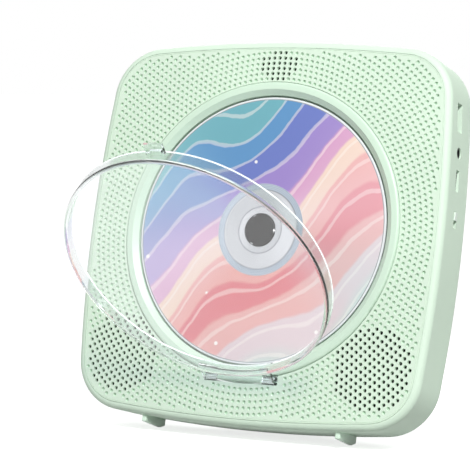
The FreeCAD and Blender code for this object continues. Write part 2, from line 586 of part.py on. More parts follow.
def outline(owner, label, depth, inset=None):
    """The bowed square: four long side arcs joined by four corner arcs, all pulled in by the inset."""
    profile = sketch(owner, label, depth)
    bind(profile, "AttachmentOffset.Base.y", "-ring_rise")
    pulled = size(inset) if inset else 0
    less = " - " + inset if inset else ""
    reach = size("arc_reach")
    side, corner = size("side_arc") - pulled, size("corner_arc") - pulled
    middle = (math.sqrt(2 * (side - corner) ** 2 - reach ** 2) - reach) / 2
    swing = math.atan2(middle, middle + reach)
    quarter = math.pi / 2
    arcs = []
    for turn in range(4):
        spin = FreeCAD.Rotation(FreeCAD.Vector(0, 0, 1), math.degrees(turn * quarter))
        for centre, radius, start, end in (((-reach, 0), side, -swing, swing),
                                           ((middle, middle), corner, swing, quarter - swing)):
            ring = Part.Circle(spin.multVec(FreeCAD.Vector(*centre, 0)), FreeCAD.Vector(0, 0, 1), radius)
            arcs.append(Part.ArcOfCircle(ring, start + turn * quarter, end + turn * quarter))
    profile.addGeometry(arcs)
    joints = [Sketcher.Constraint("Tangent", at, 2, (at + 1) % 8, 1) for at in range(8)]
    joints += [Sketcher.Constraint("Equal", at % 2, at) for at in range(2, 8)]
    joints += [Sketcher.Constraint("PointOnObject", at, 3, -1 - (at // 2) % 2) for at in range(0, 8, 2)]
    profile.addConstraint(joints)
    hold(profile, "Radius", (0, side), "side_arc" + less)
    hold(profile, "Radius", (1, corner), "corner_arc" + less)
    for kind, places in (("DistanceX", (0, 3, -1, 1)), ("DistanceY", (2, 3, -1, 1)),
                         ("DistanceX", (-1, 1, 4, 3)), ("DistanceY", (-1, 1, 6, 3))):
        hold(profile, kind, (*places, reach), "arc_reach")
    return profile


def ring_sketch(owner, label, depth, radius):
    """A circle about the disc centre."""
    profile = sketch(owner, label, depth)
    profile.addGeometry(Part.Circle(ZERO, FreeCAD.Vector(0, 0, 1), size(radius)))
    profile.addConstraint(Sketcher.Constraint("Coincident", 0, 3, -1, 1))
    hold(profile, "Radius", (0, size(radius)), radius)
    return profile


def pad(owner, label, profile, length):
    obj = owner.newObject("PartDesign::Pad", label)
    obj.Profile = profile
    obj.Reversed = True
    bind(obj, "Length", length)
    return obj


def pocket(owner, label, profile, length):
    obj = owner.newObject("PartDesign::Pocket", label)
    obj.Profile = profile
    bind(obj, "Length", length)
    return obj


def round_edges(owner, label, base, depth, radius):
    """Round the edges that lie at one depth."""
    doc.recompute()
    names = []
    for number, edge in enumerate(base.Shape.Edges, 1):
        ends = (edge.BoundBox.YMin, edge.BoundBox.YMax)
        if all(abs(end - depth) < size("pick_slack") for end in ends):
            names.append("Edge%d" % number)
    obj = owner.newObject("PartDesign::Fillet", label)
    obj.Base = (base, names)
    bind(obj, "Radius", radius)
    return obj


def screw(label, axis, shank, head, ends, thick, centre):
    """A screw between two ends along an axis; its head sits beyond the second end."""
    return fuse(label,
                rod(label + "_shank", axis, shank, ends, centre),
                rod(label + "_head", axis, head, (ends[1], "%s + %s" % (ends[1], thick)), centre))


def hole_field():
    """Centres of the open holes: rings about the disc, kept where a speaker or the window lies behind."""
    row = size("first_row")
    drop = size("row_drop")
    centres = []
    while row < 2 * size("half_size"):
        count = round(2 * math.pi * row / size("hole_pitch"))
        for number in range(count):
            angle = 2 * math.pi * number / count + math.pi / 2
            x, z = row * math.cos(angle), row * math.sin(angle) - drop
            speaker = math.hypot(abs(x) - size("speaker_side"), z + size("speaker_drop"))
            window = math.hypot(x / size("window_half"), (z - size("window_rise")) / size("window_tall"))
            if speaker < size("speaker_zone") or window < 1:
                centres.append((x, z))
        row += size("row_pitch")
        drop = min(drop + size("row_sink"), size("ring_rise"))
    return centres


def top_face(x, inset):
    """Height of the bowed top wall at x, pulled in by the inset."""
    return "sqrt((side_arc - %s)^2 - (%s)^2) - arc_reach - ring_rise" % (inset, x)


# Places of the screws, each as expressions for x and z.
cover_spots = [(sign + side, high)
               for sign in ("-", "")
               for side, high in (("boss_high_side", "boss_high_rise"), ("boss_low_side", "-boss_low_drop"))]
main_spots = [(sign + "(main_half - main_inset)", high)
              for sign in ("-", "")
              for high in ("main_low + main_inset", "main_high - main_inset")]
port_spots = [("peg_high_side", "peg_high_rise"), ("peg_low_side", "-peg_low_drop")]
deck_spots = [(side, sign + "foot_high") for side in ("-foot_left", "foot_right") for sign in ("-", "")]
ear_spots = [("ear_ring * cos(%d)" % angle, "ear_ring * sin(%d)" % angle) for angle in EAR_ANGLES]
key_spots = ["key_pitch * (%d)" % share for share in LINE_SHARES]
usb_y, usb_z = about("usb_depth", "usb_tall"), about("usb_rise", "usb_half")
hinge = ("hinge_back", "-hinge_drop")
barrel = ("knuckle_half + knuckle_gap", "leaf_half")
hinge_slot = ("-(leaf_half + slot_side)", "leaf_half + slot_side")
keys_top = "keys_bottom + board_thick"

# Front shell: bowed block, hollowed from behind, with a seat for the panel and openings for the rest.
shell = doc.addObject("PartDesign::Body", "shell_body")
block = pad(shell, "shell_block", outline(shell, "shell_outline", "0"), "parting")
round_edges(shell, "shell_edge", block, 0, "front_round")
pocket(shell, "shell_hollow", outline(shell, "shell_inside", "front_wall", "wall"), "parting")
pocket(shell, "shell_seat", outline(shell, "shell_seat_outline", "0", "panel_margin"), "panel_thick")
through = ("-overrun", "front_wall + overrun")
additions = [rod("shell_boss", "y", "boss_radius", ("panel_thick", "parting"), spot) for spot in cover_spots]
additions += [rod("shell_peg", "y", "peg_radius", ("panel_thick", "port_front"), spot) for spot in port_spots]
additions += [box("shell_rail", ends, ("panel_thick", "keys_back"),
                  ("keys_bottom - rail_tall", "keys_bottom"))
              for ends in (("-keys_half", "-rail_in"), ("rail_in", "keys_half"))]
openings = [rod("shell_well", "y", "bead_outer + tray_gap", through, MIDDLE),
            box("shell_window", ("-window_half", "window_half"), through,
                about("window_rise", "window_tall")),
            box("shell_hinge", hinge_slot, through, ("-slot_low", "-bead_inner")),
            box("shell_usb", ("port_inner", "half_size + overrun"), about("usb_depth", "mouth_tall"),
                about("usb_rise", "mouth_half")),
            box("shell_usb_seat", ("port_inner", "usb_mouth + opening_gap"),
                about("usb_depth", "usb_tall + opening_gap"), about("usb_rise", "usb_half + opening_gap")),
            rod("shell_jack", "x", "nose_radius + opening_gap", ("port_inner", "half_size + overrun"),
                ("jack_depth", "jack_rise")),
            box("shell_charge", ("port_inner", "half_size + overrun"),
                about("charge_depth", "charge_tall + opening_gap"),
                about("charge_rise", "charge_half + opening_gap")),
            box("shell_switch", ("port_inner", "half_size + overrun"),
                about("switch_depth", "knob_tall + opening_gap"),
                about("switch_rise", "knob_half + knob_travel / 2 + knob_gap"))]
openings += [rod("shell_speaker", "y", "speaker_window", through, (sign + "speaker_side", "-speaker_drop"))
             for _, sign in SIDES]
openings += [rod("shell_pilot", "y", "cover_shank + grip", ("cover_end - overrun", "parting + overrun"), spot)
             for spot in cover_spots]
openings += [rod("shell_peg_hole", "y", "tiny_shank + grip",
                 ("port_front + board_thick - tiny_long - overrun", "port_front + overrun"), spot)
             for spot in port_spots]
openings += [rod("shell_ear_hole", "y", "tray_shank + grip",
                 ("front_wall - tray_bite", "front_wall + overrun"), spot) for spot in ear_spots]
openings += [rod("shell_rail_hole", "z", "tiny_shank + grip",
                 (keys_top + " - tiny_long - overrun", "keys_bottom + overrun"),
                 (sign + "rail_mid", "(keys_front + keys_back) / 2")) for _, sign in SIDES]
openings += [box("shell_key", about(x, "key_half + key_gap"), about("key_depth", "key_tall + key_gap"),
                 ("keys_bottom + tact_tall", "half_size + overrun")) for x in key_spots]
fin_slots = [box("fin_slot", about(sign + "fin_side", "fin_half + grip"),
                 ("fin_front - grip", "fin_end + grip"), ("-fin_tip_drop", "-fin_root_drop"))
             for _, sign in SIDES]
keep(cut("front_shell", fuse("shell_solid", shell, *additions), *openings, *fin_slots))

# Perforated panel, with the open holes over the speakers and the remote window.
panel = doc.addObject("PartDesign::Body", "panel_body")
face = outline(panel, "panel_outline", "0", "panel_edge")
pad(panel, "panel_plate", face, "panel_thick")
holes = sketch(panel, "panel_holes", "0")
holes.addGeometry([Part.Circle(FreeCAD.Vector(x, z, 0), FreeCAD.Vector(0, 0, 1), size("hole_radius"))
                   for x, z in hole_field()])
pocket(panel, "panel_field", holes, "panel_thick + overrun")
keep(cut("front_panel", panel,
         rod("panel_well", "y", "bead_outer + tray_gap", through, MIDDLE),
         box("panel_hinge", hinge_slot, through, ("-slot_low", "-bead_inner"))))

# Disc tray: the raised ring, the slope, the well and the fixed barrel of the cover's hinge.
dish = doc.addObject("PartDesign::Body", "tray_body")
block = pad(dish, "tray_block", ring_sketch(dish, "tray_outline", "-bead_lift", "tray_radius"),
            "tray_back + bead_lift")
round_edges(dish, "tray_bead", block, -size("bead_lift"), "bead_round")
pocket(dish, "tray_well", ring_sketch(dish, "tray_floor", "-bead_lift", "well_radius"),
       "floor_depth + bead_lift")
tray_parts = [dish,
              rod("tray_knuckle", "x", "knuckle_radius", ("-knuckle_half", "knuckle_half"), hinge),
              box("tray_web", ("-knuckle_half", "knuckle_half"), ("hinge_back", "tray_back"),
                  ("-(hinge_drop + web_half)", "-bead_inner"))]
tray_parts += [rod("tray_ear", "y", "ear_radius", ("front_wall", "tray_back"), spot) for spot in ear_spots]
through_floor = ("floor_depth - overrun", "tray_back + overrun")
tray_cuts = [cone("tray_slope", ("bead_inner + slope_over", "well_radius - slope_over"),
                  ("-bead_lift - overrun", "shelf_depth + overrun"), MIDDLE),
             rod("tray_hub", "y", "hub_opening", through_floor, MIDDLE),
             box("tray_slot", ("0", "slot_reach"), through_floor, ("-slot_half", "slot_half"))]
tray_cuts += [rod("tray_ear_hole", "y", "tray_shank + grip", ("front_wall - overrun", "tray_back + overrun"),
                  spot) for spot in ear_spots]
tray_cuts += [rod("tray_deck_hole", "y", "deck_shank + grip",
                  ("tray_back - deck_bite", "tray_back + overrun"), spot) for spot in deck_spots]
tray_cuts += [box("tray_lug_room", ends, ("-bead_lift - overrun", "front_wall + overrun"),
                  ("-slot_low", "-(hinge_drop - knuckle_radius - slot_side)"))
              for ends in ((hinge_slot[0], "-knuckle_half"), ("knuckle_half", hinge_slot[1]))]
tray_cuts += [rod("tray_pin_hole", "x", "hinge_pin + grip", ends, hinge)
              for ends in (("-(knuckle_half + overrun)", "pin_seat - knuckle_half"),
                           ("knuckle_half - pin_seat", "knuckle_half + overrun"))]
keep(cut("disc_tray", fuse("tray_solid", *tray_parts), *tray_cuts))
keep(group("tray_screws", *[screw("tray_screw", "y", "tray_shank", "tray_head",
                                  ("front_wall - tray_bite", "tray_back"), "head_thick", spot)
                            for spot in ear_spots]))

# Clear dust cover, modelled shut; its placement opens it.
lid = doc.addObject("PartDesign::Body", "cover_body")
drum = pad(lid, "cover_drum", ring_sketch(lid, "cover_outline", "-lid_front", "lid_radius"), "lid_deep")
round_edges(lid, "cover_edge", drum, -size("lid_front"), "lid_round")
pocket(lid, "cover_hollow", ring_sketch(lid, "cover_inside", "lid_skin - lid_front", "lid_inner"), "lid_deep")
leaf_y = ("-leaf_front", "leaf_thick - leaf_front")
tab_y = ("-tab_front", "tab_thick - tab_front")
rim_y = ("-lid_front", "overrun")
leaf = common("cover_leaf",
              cut("leaf_ring", rod("leaf_outer", "y", "leaf_end", leaf_y, MIDDLE),
                  rod("leaf_inner", "y", "leaf_root", rim_y, MIDDLE)),
              box("leaf_reach", ("-leaf_half", "leaf_half"), rim_y, ("-leaf_end - overrun", "0")))
tab = common("cover_tab",
             cut("tab_ring", rod("tab_outer", "y", "tab_end", tab_y, MIDDLE),
                 rod("tab_inner", "y", "leaf_root", rim_y, MIDDLE)),
             box("tab_reach", ("-tab_half", "tab_half"), rim_y, ("0", "tab_end + overrun")))
catch = box("cover_catch", ("-catch_half", "catch_half"),
            ("-tab_front", "tab_thick - tab_front + catch_deep"), ("leaf_root", "catch_end"))
lugs = []
for ends in (barrel, ("-" + barrel[1], "-(%s)" % barrel[0])):
    lugs.append(rod("cover_barrel", "x", "knuckle_radius", ends, hinge))
    lugs.append(box("cover_lug", ends, (leaf_y[0], "hinge_back"),
                    ("-hinge_drop", "knuckle_radius - hinge_drop")))
pin_room = rod("cover_pin_room", "x", "hinge_pin + fit", hinge_slot, hinge)
cover = keep(cut("dust_cover", fuse("cover_solid", lid, leaf, tab, catch, *lugs), pin_room))
pin_ends = ("knuckle_half - pin_seat", "leaf_half - pin_short")
keep(group("hinge_pins", rod("hinge_pin_right", "x", "hinge_pin", pin_ends, hinge),
           rod("hinge_pin_left", "x", "hinge_pin", ["-(%s)" % end for end in reversed(pin_ends)], hinge)))

# Disc and what turns with it.
keep(cut("disc", rod("disc_blank", "y", "disc_radius", ("disc_depth", "disc_back"), MIDDLE),
         rod("disc_hole", "y", "disc_bore", ("disc_depth - overrun", "disc_back + overrun"), MIDDLE)))
nose = doc.addObject("PartDesign::Body", "table_nose")
plug = pad(nose, "nose_block", ring_sketch(nose, "nose_outline", "hub_depth", "hub_radius"),
           "disc_back + table_thick - hub_depth")
round_edges(nose, "nose_edge", plug, size("hub_depth"), "hub_round")
ball_spots = [("ball_ring * cos(%d * 360 / %d)" % (share, len(BALL_SHARES)),
               "ball_ring * sin(%d * 360 / %d)" % (share, len(BALL_SHARES))) for share in BALL_SHARES]


def ball(label, spot, radius):
    obj = doc.addObject("Part::Sphere", label)
    bind(obj, "Radius", radius)
    place(obj, spot[0], "ball_depth", spot[1])
    return obj


keep(cut("turntable",
         fuse("table_solid", nose,
              rod("table_flange", "y", "table_radius", ("disc_back", "disc_back + table_thick"), MIDDLE),
              rod("table_stem", "y", "stem_radius", ("disc_back", "stem_end"), MIDDLE)),
         rod("table_bore", "y", "shaft_radius + grip", ("shaft_start", "stem_end + overrun"), MIDDLE),
         *[rod("ball_room", "y", "pocket_radius", about("ball_depth", "pocket_radius"), spot)
           for spot in ball_spots]))
keep(group("clamp_balls", *[ball("clamp_ball", spot, "ball_radius") for spot in ball_spots]))
keep(group("spindle_shaft", rod("spindle", "y", "shaft_radius",
                                ("shaft_start", "plate_back + motor_deep - overrun"), MIDDLE)))

# Deck: plate on rubber dampers, motors, rods, pickup and lead screw.
sled_axis = ("screw_depth", "-screw_side")
rest_ends = (("rest_left", "rest_left + rest_thick"), ("rest_right", "rest_right + rest_thick"))
plate_parts = [box("plate_sheet", ("-plate_left", "plate_right"), ("plate_depth", "plate_back"),
                   ("-plate_half", "plate_half"))]
plate_room = ("plate_depth - overrun", "plate_back + overrun")
plate_cuts = [rod("plate_hub", "y", "motor_hole", plate_room, MIDDLE),
              box("plate_gate", ("gate_left", "gate_right"), plate_room, ("-gate_half", "gate_half"))]
for ends in rest_ends:
    for _, sign in SIDES:
        plate_parts.append(box("rod_rest", ends, ("plate_depth", "rest_back"),
                               about(sign + "rod_side", "rest_half")))
    plate_parts.append(box("screw_rest", ends, ("plate_depth", "rest_deep"),
                           about("-screw_side", "rest_low")))
rod_ends = ("rest_left", "rest_right + rest_thick")
rod_room = ("rest_left - overrun", "plate_right + overrun")
plate_cuts += [rod("rod_room", "x", "rod_radius + grip", rod_room, ("rod_depth", sign + "rod_side"))
               for _, sign in SIDES]
plate_cuts.append(rod("screw_room", "x", "screw_radius + fit", rod_room, sled_axis))
plate_cuts += [rod("plate_foot_hole", "y", "deck_shank + fit", plate_room, spot) for spot in deck_spots]
keep(cut("deck_plate", fuse("plate_solid", *plate_parts), *plate_cuts))
damper_room = ("tray_back - overrun", "plate_depth + overrun")
keep(group("deck_dampers", *[cut("damper",
                                 rod("damper_ring", "y", "damper_radius", ("tray_back", "plate_depth"), spot),
                                 rod("damper_hole", "y", "deck_shank + fit", damper_room, spot))
                             for spot in deck_spots]))
keep(group("deck_screws", *[screw("deck_screw", "y", "deck_shank", "deck_head",
                                  ("tray_back - deck_bite", "plate_back"), "deck_head_thick", spot)
                            for spot in deck_spots]))
motor_end = "plate_back + motor_deep"
keep(cut("spindle_motor", rod("motor_can", "y", "motor_radius", ("plate_back", motor_end), MIDDLE),
         rod("motor_bore", "y", "shaft_radius + fit", ("plate_back - overrun", motor_end + " - overrun / 2"),
             MIDDLE)))
keep(group("guide_rods", *[rod("guide_rod", "x", "rod_radius", rod_ends, ("rod_depth", sign + "rod_side"))
                           for _, sign in SIDES]))
keep(cut("sled_motor", rod("sled_can", "x", "sled_radius", ("-sled_left", "rest_left"), sled_axis),
         rod("sled_bore", "x", "screw_radius + fit",
             ("rest_left - screw_sink - overrun", "rest_left + overrun"), sled_axis)))
keep(group("lead_screw", rod("lead_rod", "x", "screw_radius",
                             ("rest_left - screw_sink", "rest_right + rest_thick"), sled_axis)))
block_x = ("lens_start - block_in", "lens_start + block_out")
post = ("lens_start - post_in", "0")
keep(cut("pickup_body",
         fuse("pickup_solid",
              box("pickup_block", block_x, ("block_front", "block_back"), ("-block_half", "block_half")),
              box("pickup_nut", about("lens_start", "nut_in"), ("block_front", "screw_depth + nut_half"),
                  about("-screw_side", "nut_half")),
              box("pickup_arm", about("lens_start", "nut_in"), ("block_front", "block_back"),
                  ("-screw_side", "-rod_side")),
              rod("pickup_post", "y", "post_radius", ("post_front", "block_back"), post)),
         *[rod("pickup_bore", "x", "rod_radius + fit", ("0", "plate_right"), ("rod_depth", sign + "rod_side"))
           for _, sign in SIDES],
         rod("nut_bore", "x", "screw_radius + fit", ("0", "plate_right"), sled_axis)))
keep(cut("lens_carrier",
         box("carrier_block", ("lens_start - carrier_in", "lens_start + carrier_out"),
             ("carrier_front", "carrier_back"), ("-carrier_half", "carrier_half")),
         rod("carrier_bore", "y", "post_radius + fit",
             ("carrier_front - overrun", "carrier_back + overrun"), post)))
keep(group("objective_lens", rod("lens_barrel", "y", "lens_radius", ("lens_front", "carrier_front"),
                                 ("lens_start", "0"))))

# Speakers.
for side, sign in SIDES:
    spot = (sign + "speaker_side", "-speaker_drop")
    flange_back = "front_wall + flange_thick"
    basket_back = flange_back + " + basket_deep"
    keep(cut("speaker_frame_" + side,
             fuse("frame_solid",
                  rod("frame_flange", "y", "flange_radius", ("front_wall", flange_back), spot),
                  cone("frame_basket", ("basket_top", "basket_base"), (flange_back, basket_back), spot)),
             rod("frame_mouth", "y", "speaker_window", ("front_wall - overrun", flange_back), spot),
             cone("frame_hollow", ("speaker_window", "basket_base - basket_skin"),
                  (flange_back, basket_back), spot)))
    keep(cut("speaker_cone_" + side,
             cone("cone_outer", ("speaker_window", "cone_base"),
                  ("cone_start", "cone_start + cone_deep"), spot),
             cone("cone_inner", ("speaker_window", "cone_base"),
                  ("cone_start - cone_skin", "cone_start + cone_deep - cone_skin"), spot)))
    keep(group("speaker_magnet_" + side, rod("magnet_" + side, "y", "magnet_radius",
                                             (basket_back, basket_back + " + magnet_deep"), spot)))

# Port board on the right with its sockets and the power switch.
port_back = "port_front + board_thick"
keep(cut("port_board",
         box("port_sheet", ("port_left", "port_right"), ("port_front", port_back), ("-port_low", "port_top")),
         *[rod("port_hole", "y", "tiny_shank + grip",
               ("port_front - overrun", port_back + " + overrun"), spot) for spot in port_spots]))
usb_x = ("usb_mouth - usb_deep", "usb_mouth")
keep(fuse("usb_socket",
          cut("usb_shell", box("usb_block", usb_x, usb_y, usb_z),
              box("usb_hollow", ("usb_mouth - usb_deep + usb_back", "usb_mouth + overrun"),
                  about("usb_depth", "usb_tall - usb_skin"), about("usb_rise", "usb_half - usb_skin"))),
          box("usb_tongue", (usb_x[0], "usb_mouth - tongue_short"),
              ("usb_depth + usb_tall - usb_skin - tongue_thick", "usb_depth + usb_tall - usb_skin"),
              about("usb_rise", "tongue_half"))))
jack = ("jack_depth", "jack_rise")
keep(cut("audio_jack",
         fuse("jack_solid", box("jack_block", ("jack_left", "jack_face"), about("jack_depth", "jack_tall"),
                                about("jack_rise", "jack_half")),
              rod("jack_tip", "x", "nose_radius", ("jack_left", "jack_nose"), jack)),
         rod("jack_bore", "x", "plug_radius", ("jack_nose - plug_deep", "jack_nose + overrun"), jack)))
keep(fuse("charge_socket",
          cut("charge_shell", box("charge_block", ("charge_left", "charge_mouth"),
                                  about("charge_depth", "charge_tall"), about("charge_rise", "charge_half")),
              box("charge_hollow", ("charge_left + charge_back", "charge_mouth + overrun"),
                  about("charge_depth", "charge_tall - charge_skin"),
                  about("charge_rise", "charge_half - charge_skin"))),
          box("charge_blade", ("charge_left", "charge_mouth - blade_short"),
              about("charge_depth", "blade_thick / 2"), about("charge_rise", "blade_half")),
          box("charge_base", ("charge_left", "port_right"), ("charge_depth + charge_tall", "port_front"),
              about("charge_rise", "charge_half"))))
knob_mid = "switch_rise + knob_travel / 2"
keep(cut("switch_body",
         box("switch_block", ("switch_left", "switch_face"), ("switch_depth - switch_tall", "port_front"),
             about("switch_rise", "switch_half")),
         box("switch_slot", ("knob_root - key_air", "switch_face + overrun"),
             about("switch_depth", "knob_tall + fit"),
             about("switch_rise", "knob_half + knob_travel / 2 + knob_gap"))))
keep(group("switch_knob", box("knob_block", ("knob_root", "knob_end"), about("switch_depth", "knob_tall"),
                              about(knob_mid, "knob_half"))))

# Key board under the top wall, its switches, the keys and the remote receiver.
keep(cut("key_board", box("keys_sheet", ("-keys_half", "keys_half"), ("keys_front", "keys_back"),
                          ("keys_bottom", keys_top)),
         *[rod("keys_hole", "z", "tiny_shank + grip", ("keys_bottom - overrun", keys_top + " + overrun"),
               (sign + "rail_mid", "(keys_front + keys_back) / 2")) for _, sign in SIDES]))
keep(group("key_switches", *[box("tact", about(x, "tact_half"), about("key_depth", "tact_half - key_air"),
                                 (keys_top, keys_top + " + tact_tall")) for x in key_spots]))
for number, x in enumerate(key_spots, 1):
    ceiling = top_face(x, "wall") + " - key_seat"
    keep(fuse("key_%d" % number,
              box("key_cap", about(x, "key_half"), about("key_depth", "key_tall"),
                  (ceiling + " - key_thick", top_face(x, "0") + " + key_proud")),
              box("key_rim", about(x, "key_half + key_flange"), about("key_depth", "key_tall + key_flange"),
                  (ceiling + " - key_thick", ceiling)),
              rod("key_stem", "z", "key_tall", (keys_top + " + tact_tall + key_travel + key_air", ceiling),
                  (x, "key_depth"))))
keep(group("remote_receiver", box("receiver", ("-eye_half", "eye_half"), ("eye_front", "keys_front"),
                                  ("eye_low", "eye_high"))))

# Rear cover: bowed block hollowed from the front, screw posts, battery ribs and the stand's recess.
back = doc.addObject("PartDesign::Body", "back_body")
slab = pad(back, "back_block", outline(back, "back_outline", "parting"), "depth - parting")
round_edges(back, "back_edge", slab, size("depth"), "rear_round")
pocket(back, "back_hollow", outline(back, "back_inside", "parting", "wall"), "inner_back - parting")
recess_side = "stand_half + recess_gap"
recess_front = "stand_back - stand_thick / 2 - recess_gap"
recess_z = ("-(stand_drop + stand_thick / 2 + recess_gap)", "stand_reach - stand_drop + recess_gap")
back_parts = [rod("back_post", "y", "post_round", ("parting", "depth"), spot) for spot in cover_spots]
back_parts += [rod("back_peg", "y", "peg_radius", ("main_front + board_thick", "inner_back"), spot)
               for spot in main_spots]
back_parts += [box("back_rib", ends, ("inner_back - rib_tall", "inner_back"), ("-cell_low", "cell_high"))
               for ends in (("-(cell_left + cell_gap + rib_thick)", "-(cell_left + cell_gap)"),
                            ("cell_gap - cell_right", "cell_gap + rib_thick - cell_right"))]
back_parts.append(box("back_well", ("-(%s + recess_wall)" % recess_side, recess_side + " + recess_wall"),
                      (recess_front + " - recess_wall", "inner_back"),
                      (recess_z[0] + " - recess_wall", recess_z[1] + " + recess_wall")))
back_cuts = [box("back_recess", ("-(%s)" % recess_side, recess_side),
                 (recess_front, "depth + overrun"), recess_z),
             rod("back_pin_hole", "x", "stand_pin + grip",
                 ("-(%s + recess_wall + overrun)" % recess_side, recess_side + " + recess_wall + overrun"),
                 ("stand_back", "-stand_drop"))]
for spot in cover_spots:
    back_cuts.append(rod("back_screw_hole", "y", "cover_shank + fit",
                         ("parting - overrun", "depth + overrun"), spot))
    back_cuts.append(rod("back_screw_sink", "y", "cover_sink", ("cover_seat", "depth + overrun"), spot))
back_cuts += [rod("back_peg_hole", "y", "tiny_shank + grip",
                  ("main_front", "main_front + tiny_long + overrun"), spot) for spot in main_spots]
back_slots = [box("back_fin_slot", about(sign + "fin_side", "fin_half + grip"),
                  ("fin_front", "fin_end + grip"), ("-fin_tip_drop", "-fin_root_drop")) for _, sign in SIDES]
keep(cut("rear_cover", fuse("back_solid", back, *back_parts), *back_cuts, *back_slots))
keep(group("cover_screws", *[screw("cover_screw", "y", "cover_shank", "cover_head",
                                   ("cover_end", "cover_seat"), "cover_thick", spot) for spot in cover_spots]))
main_back = "main_front + board_thick"
keep(cut("main_board",
         box("main_sheet", ("-main_half", "main_half"), ("main_front", main_back), ("main_low", "main_high")),
         *[rod("main_hole", "y", "tiny_shank + grip",
               ("main_front - overrun", main_back + " + overrun"), spot) for spot in main_spots]))
keep(group("board_chips", *[box("chip", about("chip_pitch * (%d)" % share, "chip_half"),
                                ("main_front - chip_thick", "main_front"),
                                about("(main_low + main_high) / 2", "chip_half")) for share in CHIP_SHARES]))
keep(group("battery_pack", box("cell", ("-cell_left", "-cell_right"),
                               ("inner_back - cell_thick", "inner_back"), ("-cell_low", "cell_high"))))


def back_screw(spot):
    """A board screw driven from the front into the rear cover."""
    return fuse("main_screw",
                rod("main_shank", "y", "tiny_shank", ("main_front", "main_front + tiny_long"), spot),
                rod("main_head", "y", "tiny_head", ("main_front - head_thick", "main_front"), spot))


port_ends = (port_back + " - tiny_long", port_back)
key_ends = (keys_top + " - tiny_long", keys_top)
keep(group("board_screws", *[back_screw(spot) for spot in main_spots],
           *[screw("port_screw", "y", "tiny_shank", "tiny_head", port_ends, "head_thick", spot)
             for spot in port_spots],
           *[screw("keys_screw", "z", "tiny_shank", "tiny_head", key_ends, "head_thick",
                   (sign + "rail_mid", "(keys_front + keys_back) / 2")) for _, sign in SIDES]))

# Feet, and the fold-out stand whose pad ends on the same desk plane.
desk = "(%s - fin_tip_back) * tan(lean) - fin_tip_drop"
for side, sign in SIDES:
    fin_x = about(sign + "fin_side", "fin_half")
    keep(fuse("foot_" + side,
              wedge("fin_fore", fin_x, ("fin_front", "fin_tip_back"), ("-fin_front_drop", "-fin_tip_drop"),
                    "-fin_root_drop"),
              wedge("fin_aft", fin_x, ("fin_tip_back", "fin_end"), ("-fin_tip_drop", desk % "fin_end"),
                    "-fin_root_drop")))
stand_end = "stand_back + stand_reach"
stand_low = "-(stand_drop + stand_thick / 2)"
stand_axis = ("stand_back", "-stand_drop")
keep(cut("stand_leg",
         fuse("stand_solid",
              box("stand_plate", ("-stand_half", "stand_half"), ("stand_back", stand_end),
                  about("-stand_drop", "stand_thick / 2")),
              rod("stand_eye", "x", "stand_thick / 2", ("-stand_half", "stand_half"), stand_axis)),
         rod("stand_bore", "x", "stand_pin + fit",
             ("-stand_half - overrun", "stand_half + overrun"), stand_axis)))
keep(group("stand_pin_rod",
           rod("stand_rod", "x", "stand_pin",
               ("-(%s + recess_wall)" % recess_side, recess_side + " + recess_wall"), stand_axis)))
pad_start = stand_end + " - pad_long"
keep(group("stand_pad", wedge("stand_wedge", ("-pad_half", "pad_half"), (pad_start, stand_end),
                              (desk % ("(%s)" % pad_start), desk % ("(%s)" % stand_end)), stand_low)))


def check():
    """Stop when anything fails to compute or a sub-part has no sound shape."""
    faults = [obj.Label for obj in doc.Objects if {"Invalid", "Error"} & set(obj.State)]
    faults += [obj.Label for obj in nodes
               if obj.Shape.isNull() or not obj.Shape.isValid() or not obj.Shape.Solids]
    if faults:
        raise RuntimeError("not sound: " + ", ".join(faults))


# Stand the player on the desk plane, the middle of the whole over the origin.
doc.recompute()
check()
tilt = FreeCAD.Rotation(FreeCAD.Vector(1, 0, 0), -size("lean"))
axis_point = FreeCAD.Vector(0, size("hinge_back"), -size("hinge_drop"))
opened = FreeCAD.Placement(ZERO, FreeCAD.Rotation(FreeCAD.Vector(1, 0, 0), size("lid_open")), axis_point)
leaning = FreeCAD.Placement(ZERO, tilt)
bounds = FreeCAD.BoundBox()
for obj in nodes:
    pose = leaning.multiply(opened) if obj is cover else leaning
    bounds.add(obj.Shape.transformed(pose.toMatrix()).optimalBoundingBox())
stance = FreeCAD.Placement(FreeCAD.Vector(0, -bounds.Center.y, -bounds.ZMin), tilt)
for obj in nodes:
    obj.Placement = stance.multiply(opened) if obj is cover else stance
doc.recompute()
check()
os.makedirs("parts", exist_ok=True)
for obj in nodes:
    obj.Shape.exportStep("parts/%s.step" % obj.Label)
print("disc centre stands at", stance.Base)
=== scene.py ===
"""A pale mint desktop disc player, its clear cover open: pieces, finishes, stage, light and camera."""
import json
import math

import bmesh
import bpy
import numpy as np
from mathutils import Matrix, Vector
from mathutils.geometry import delaunay_2d_cdt


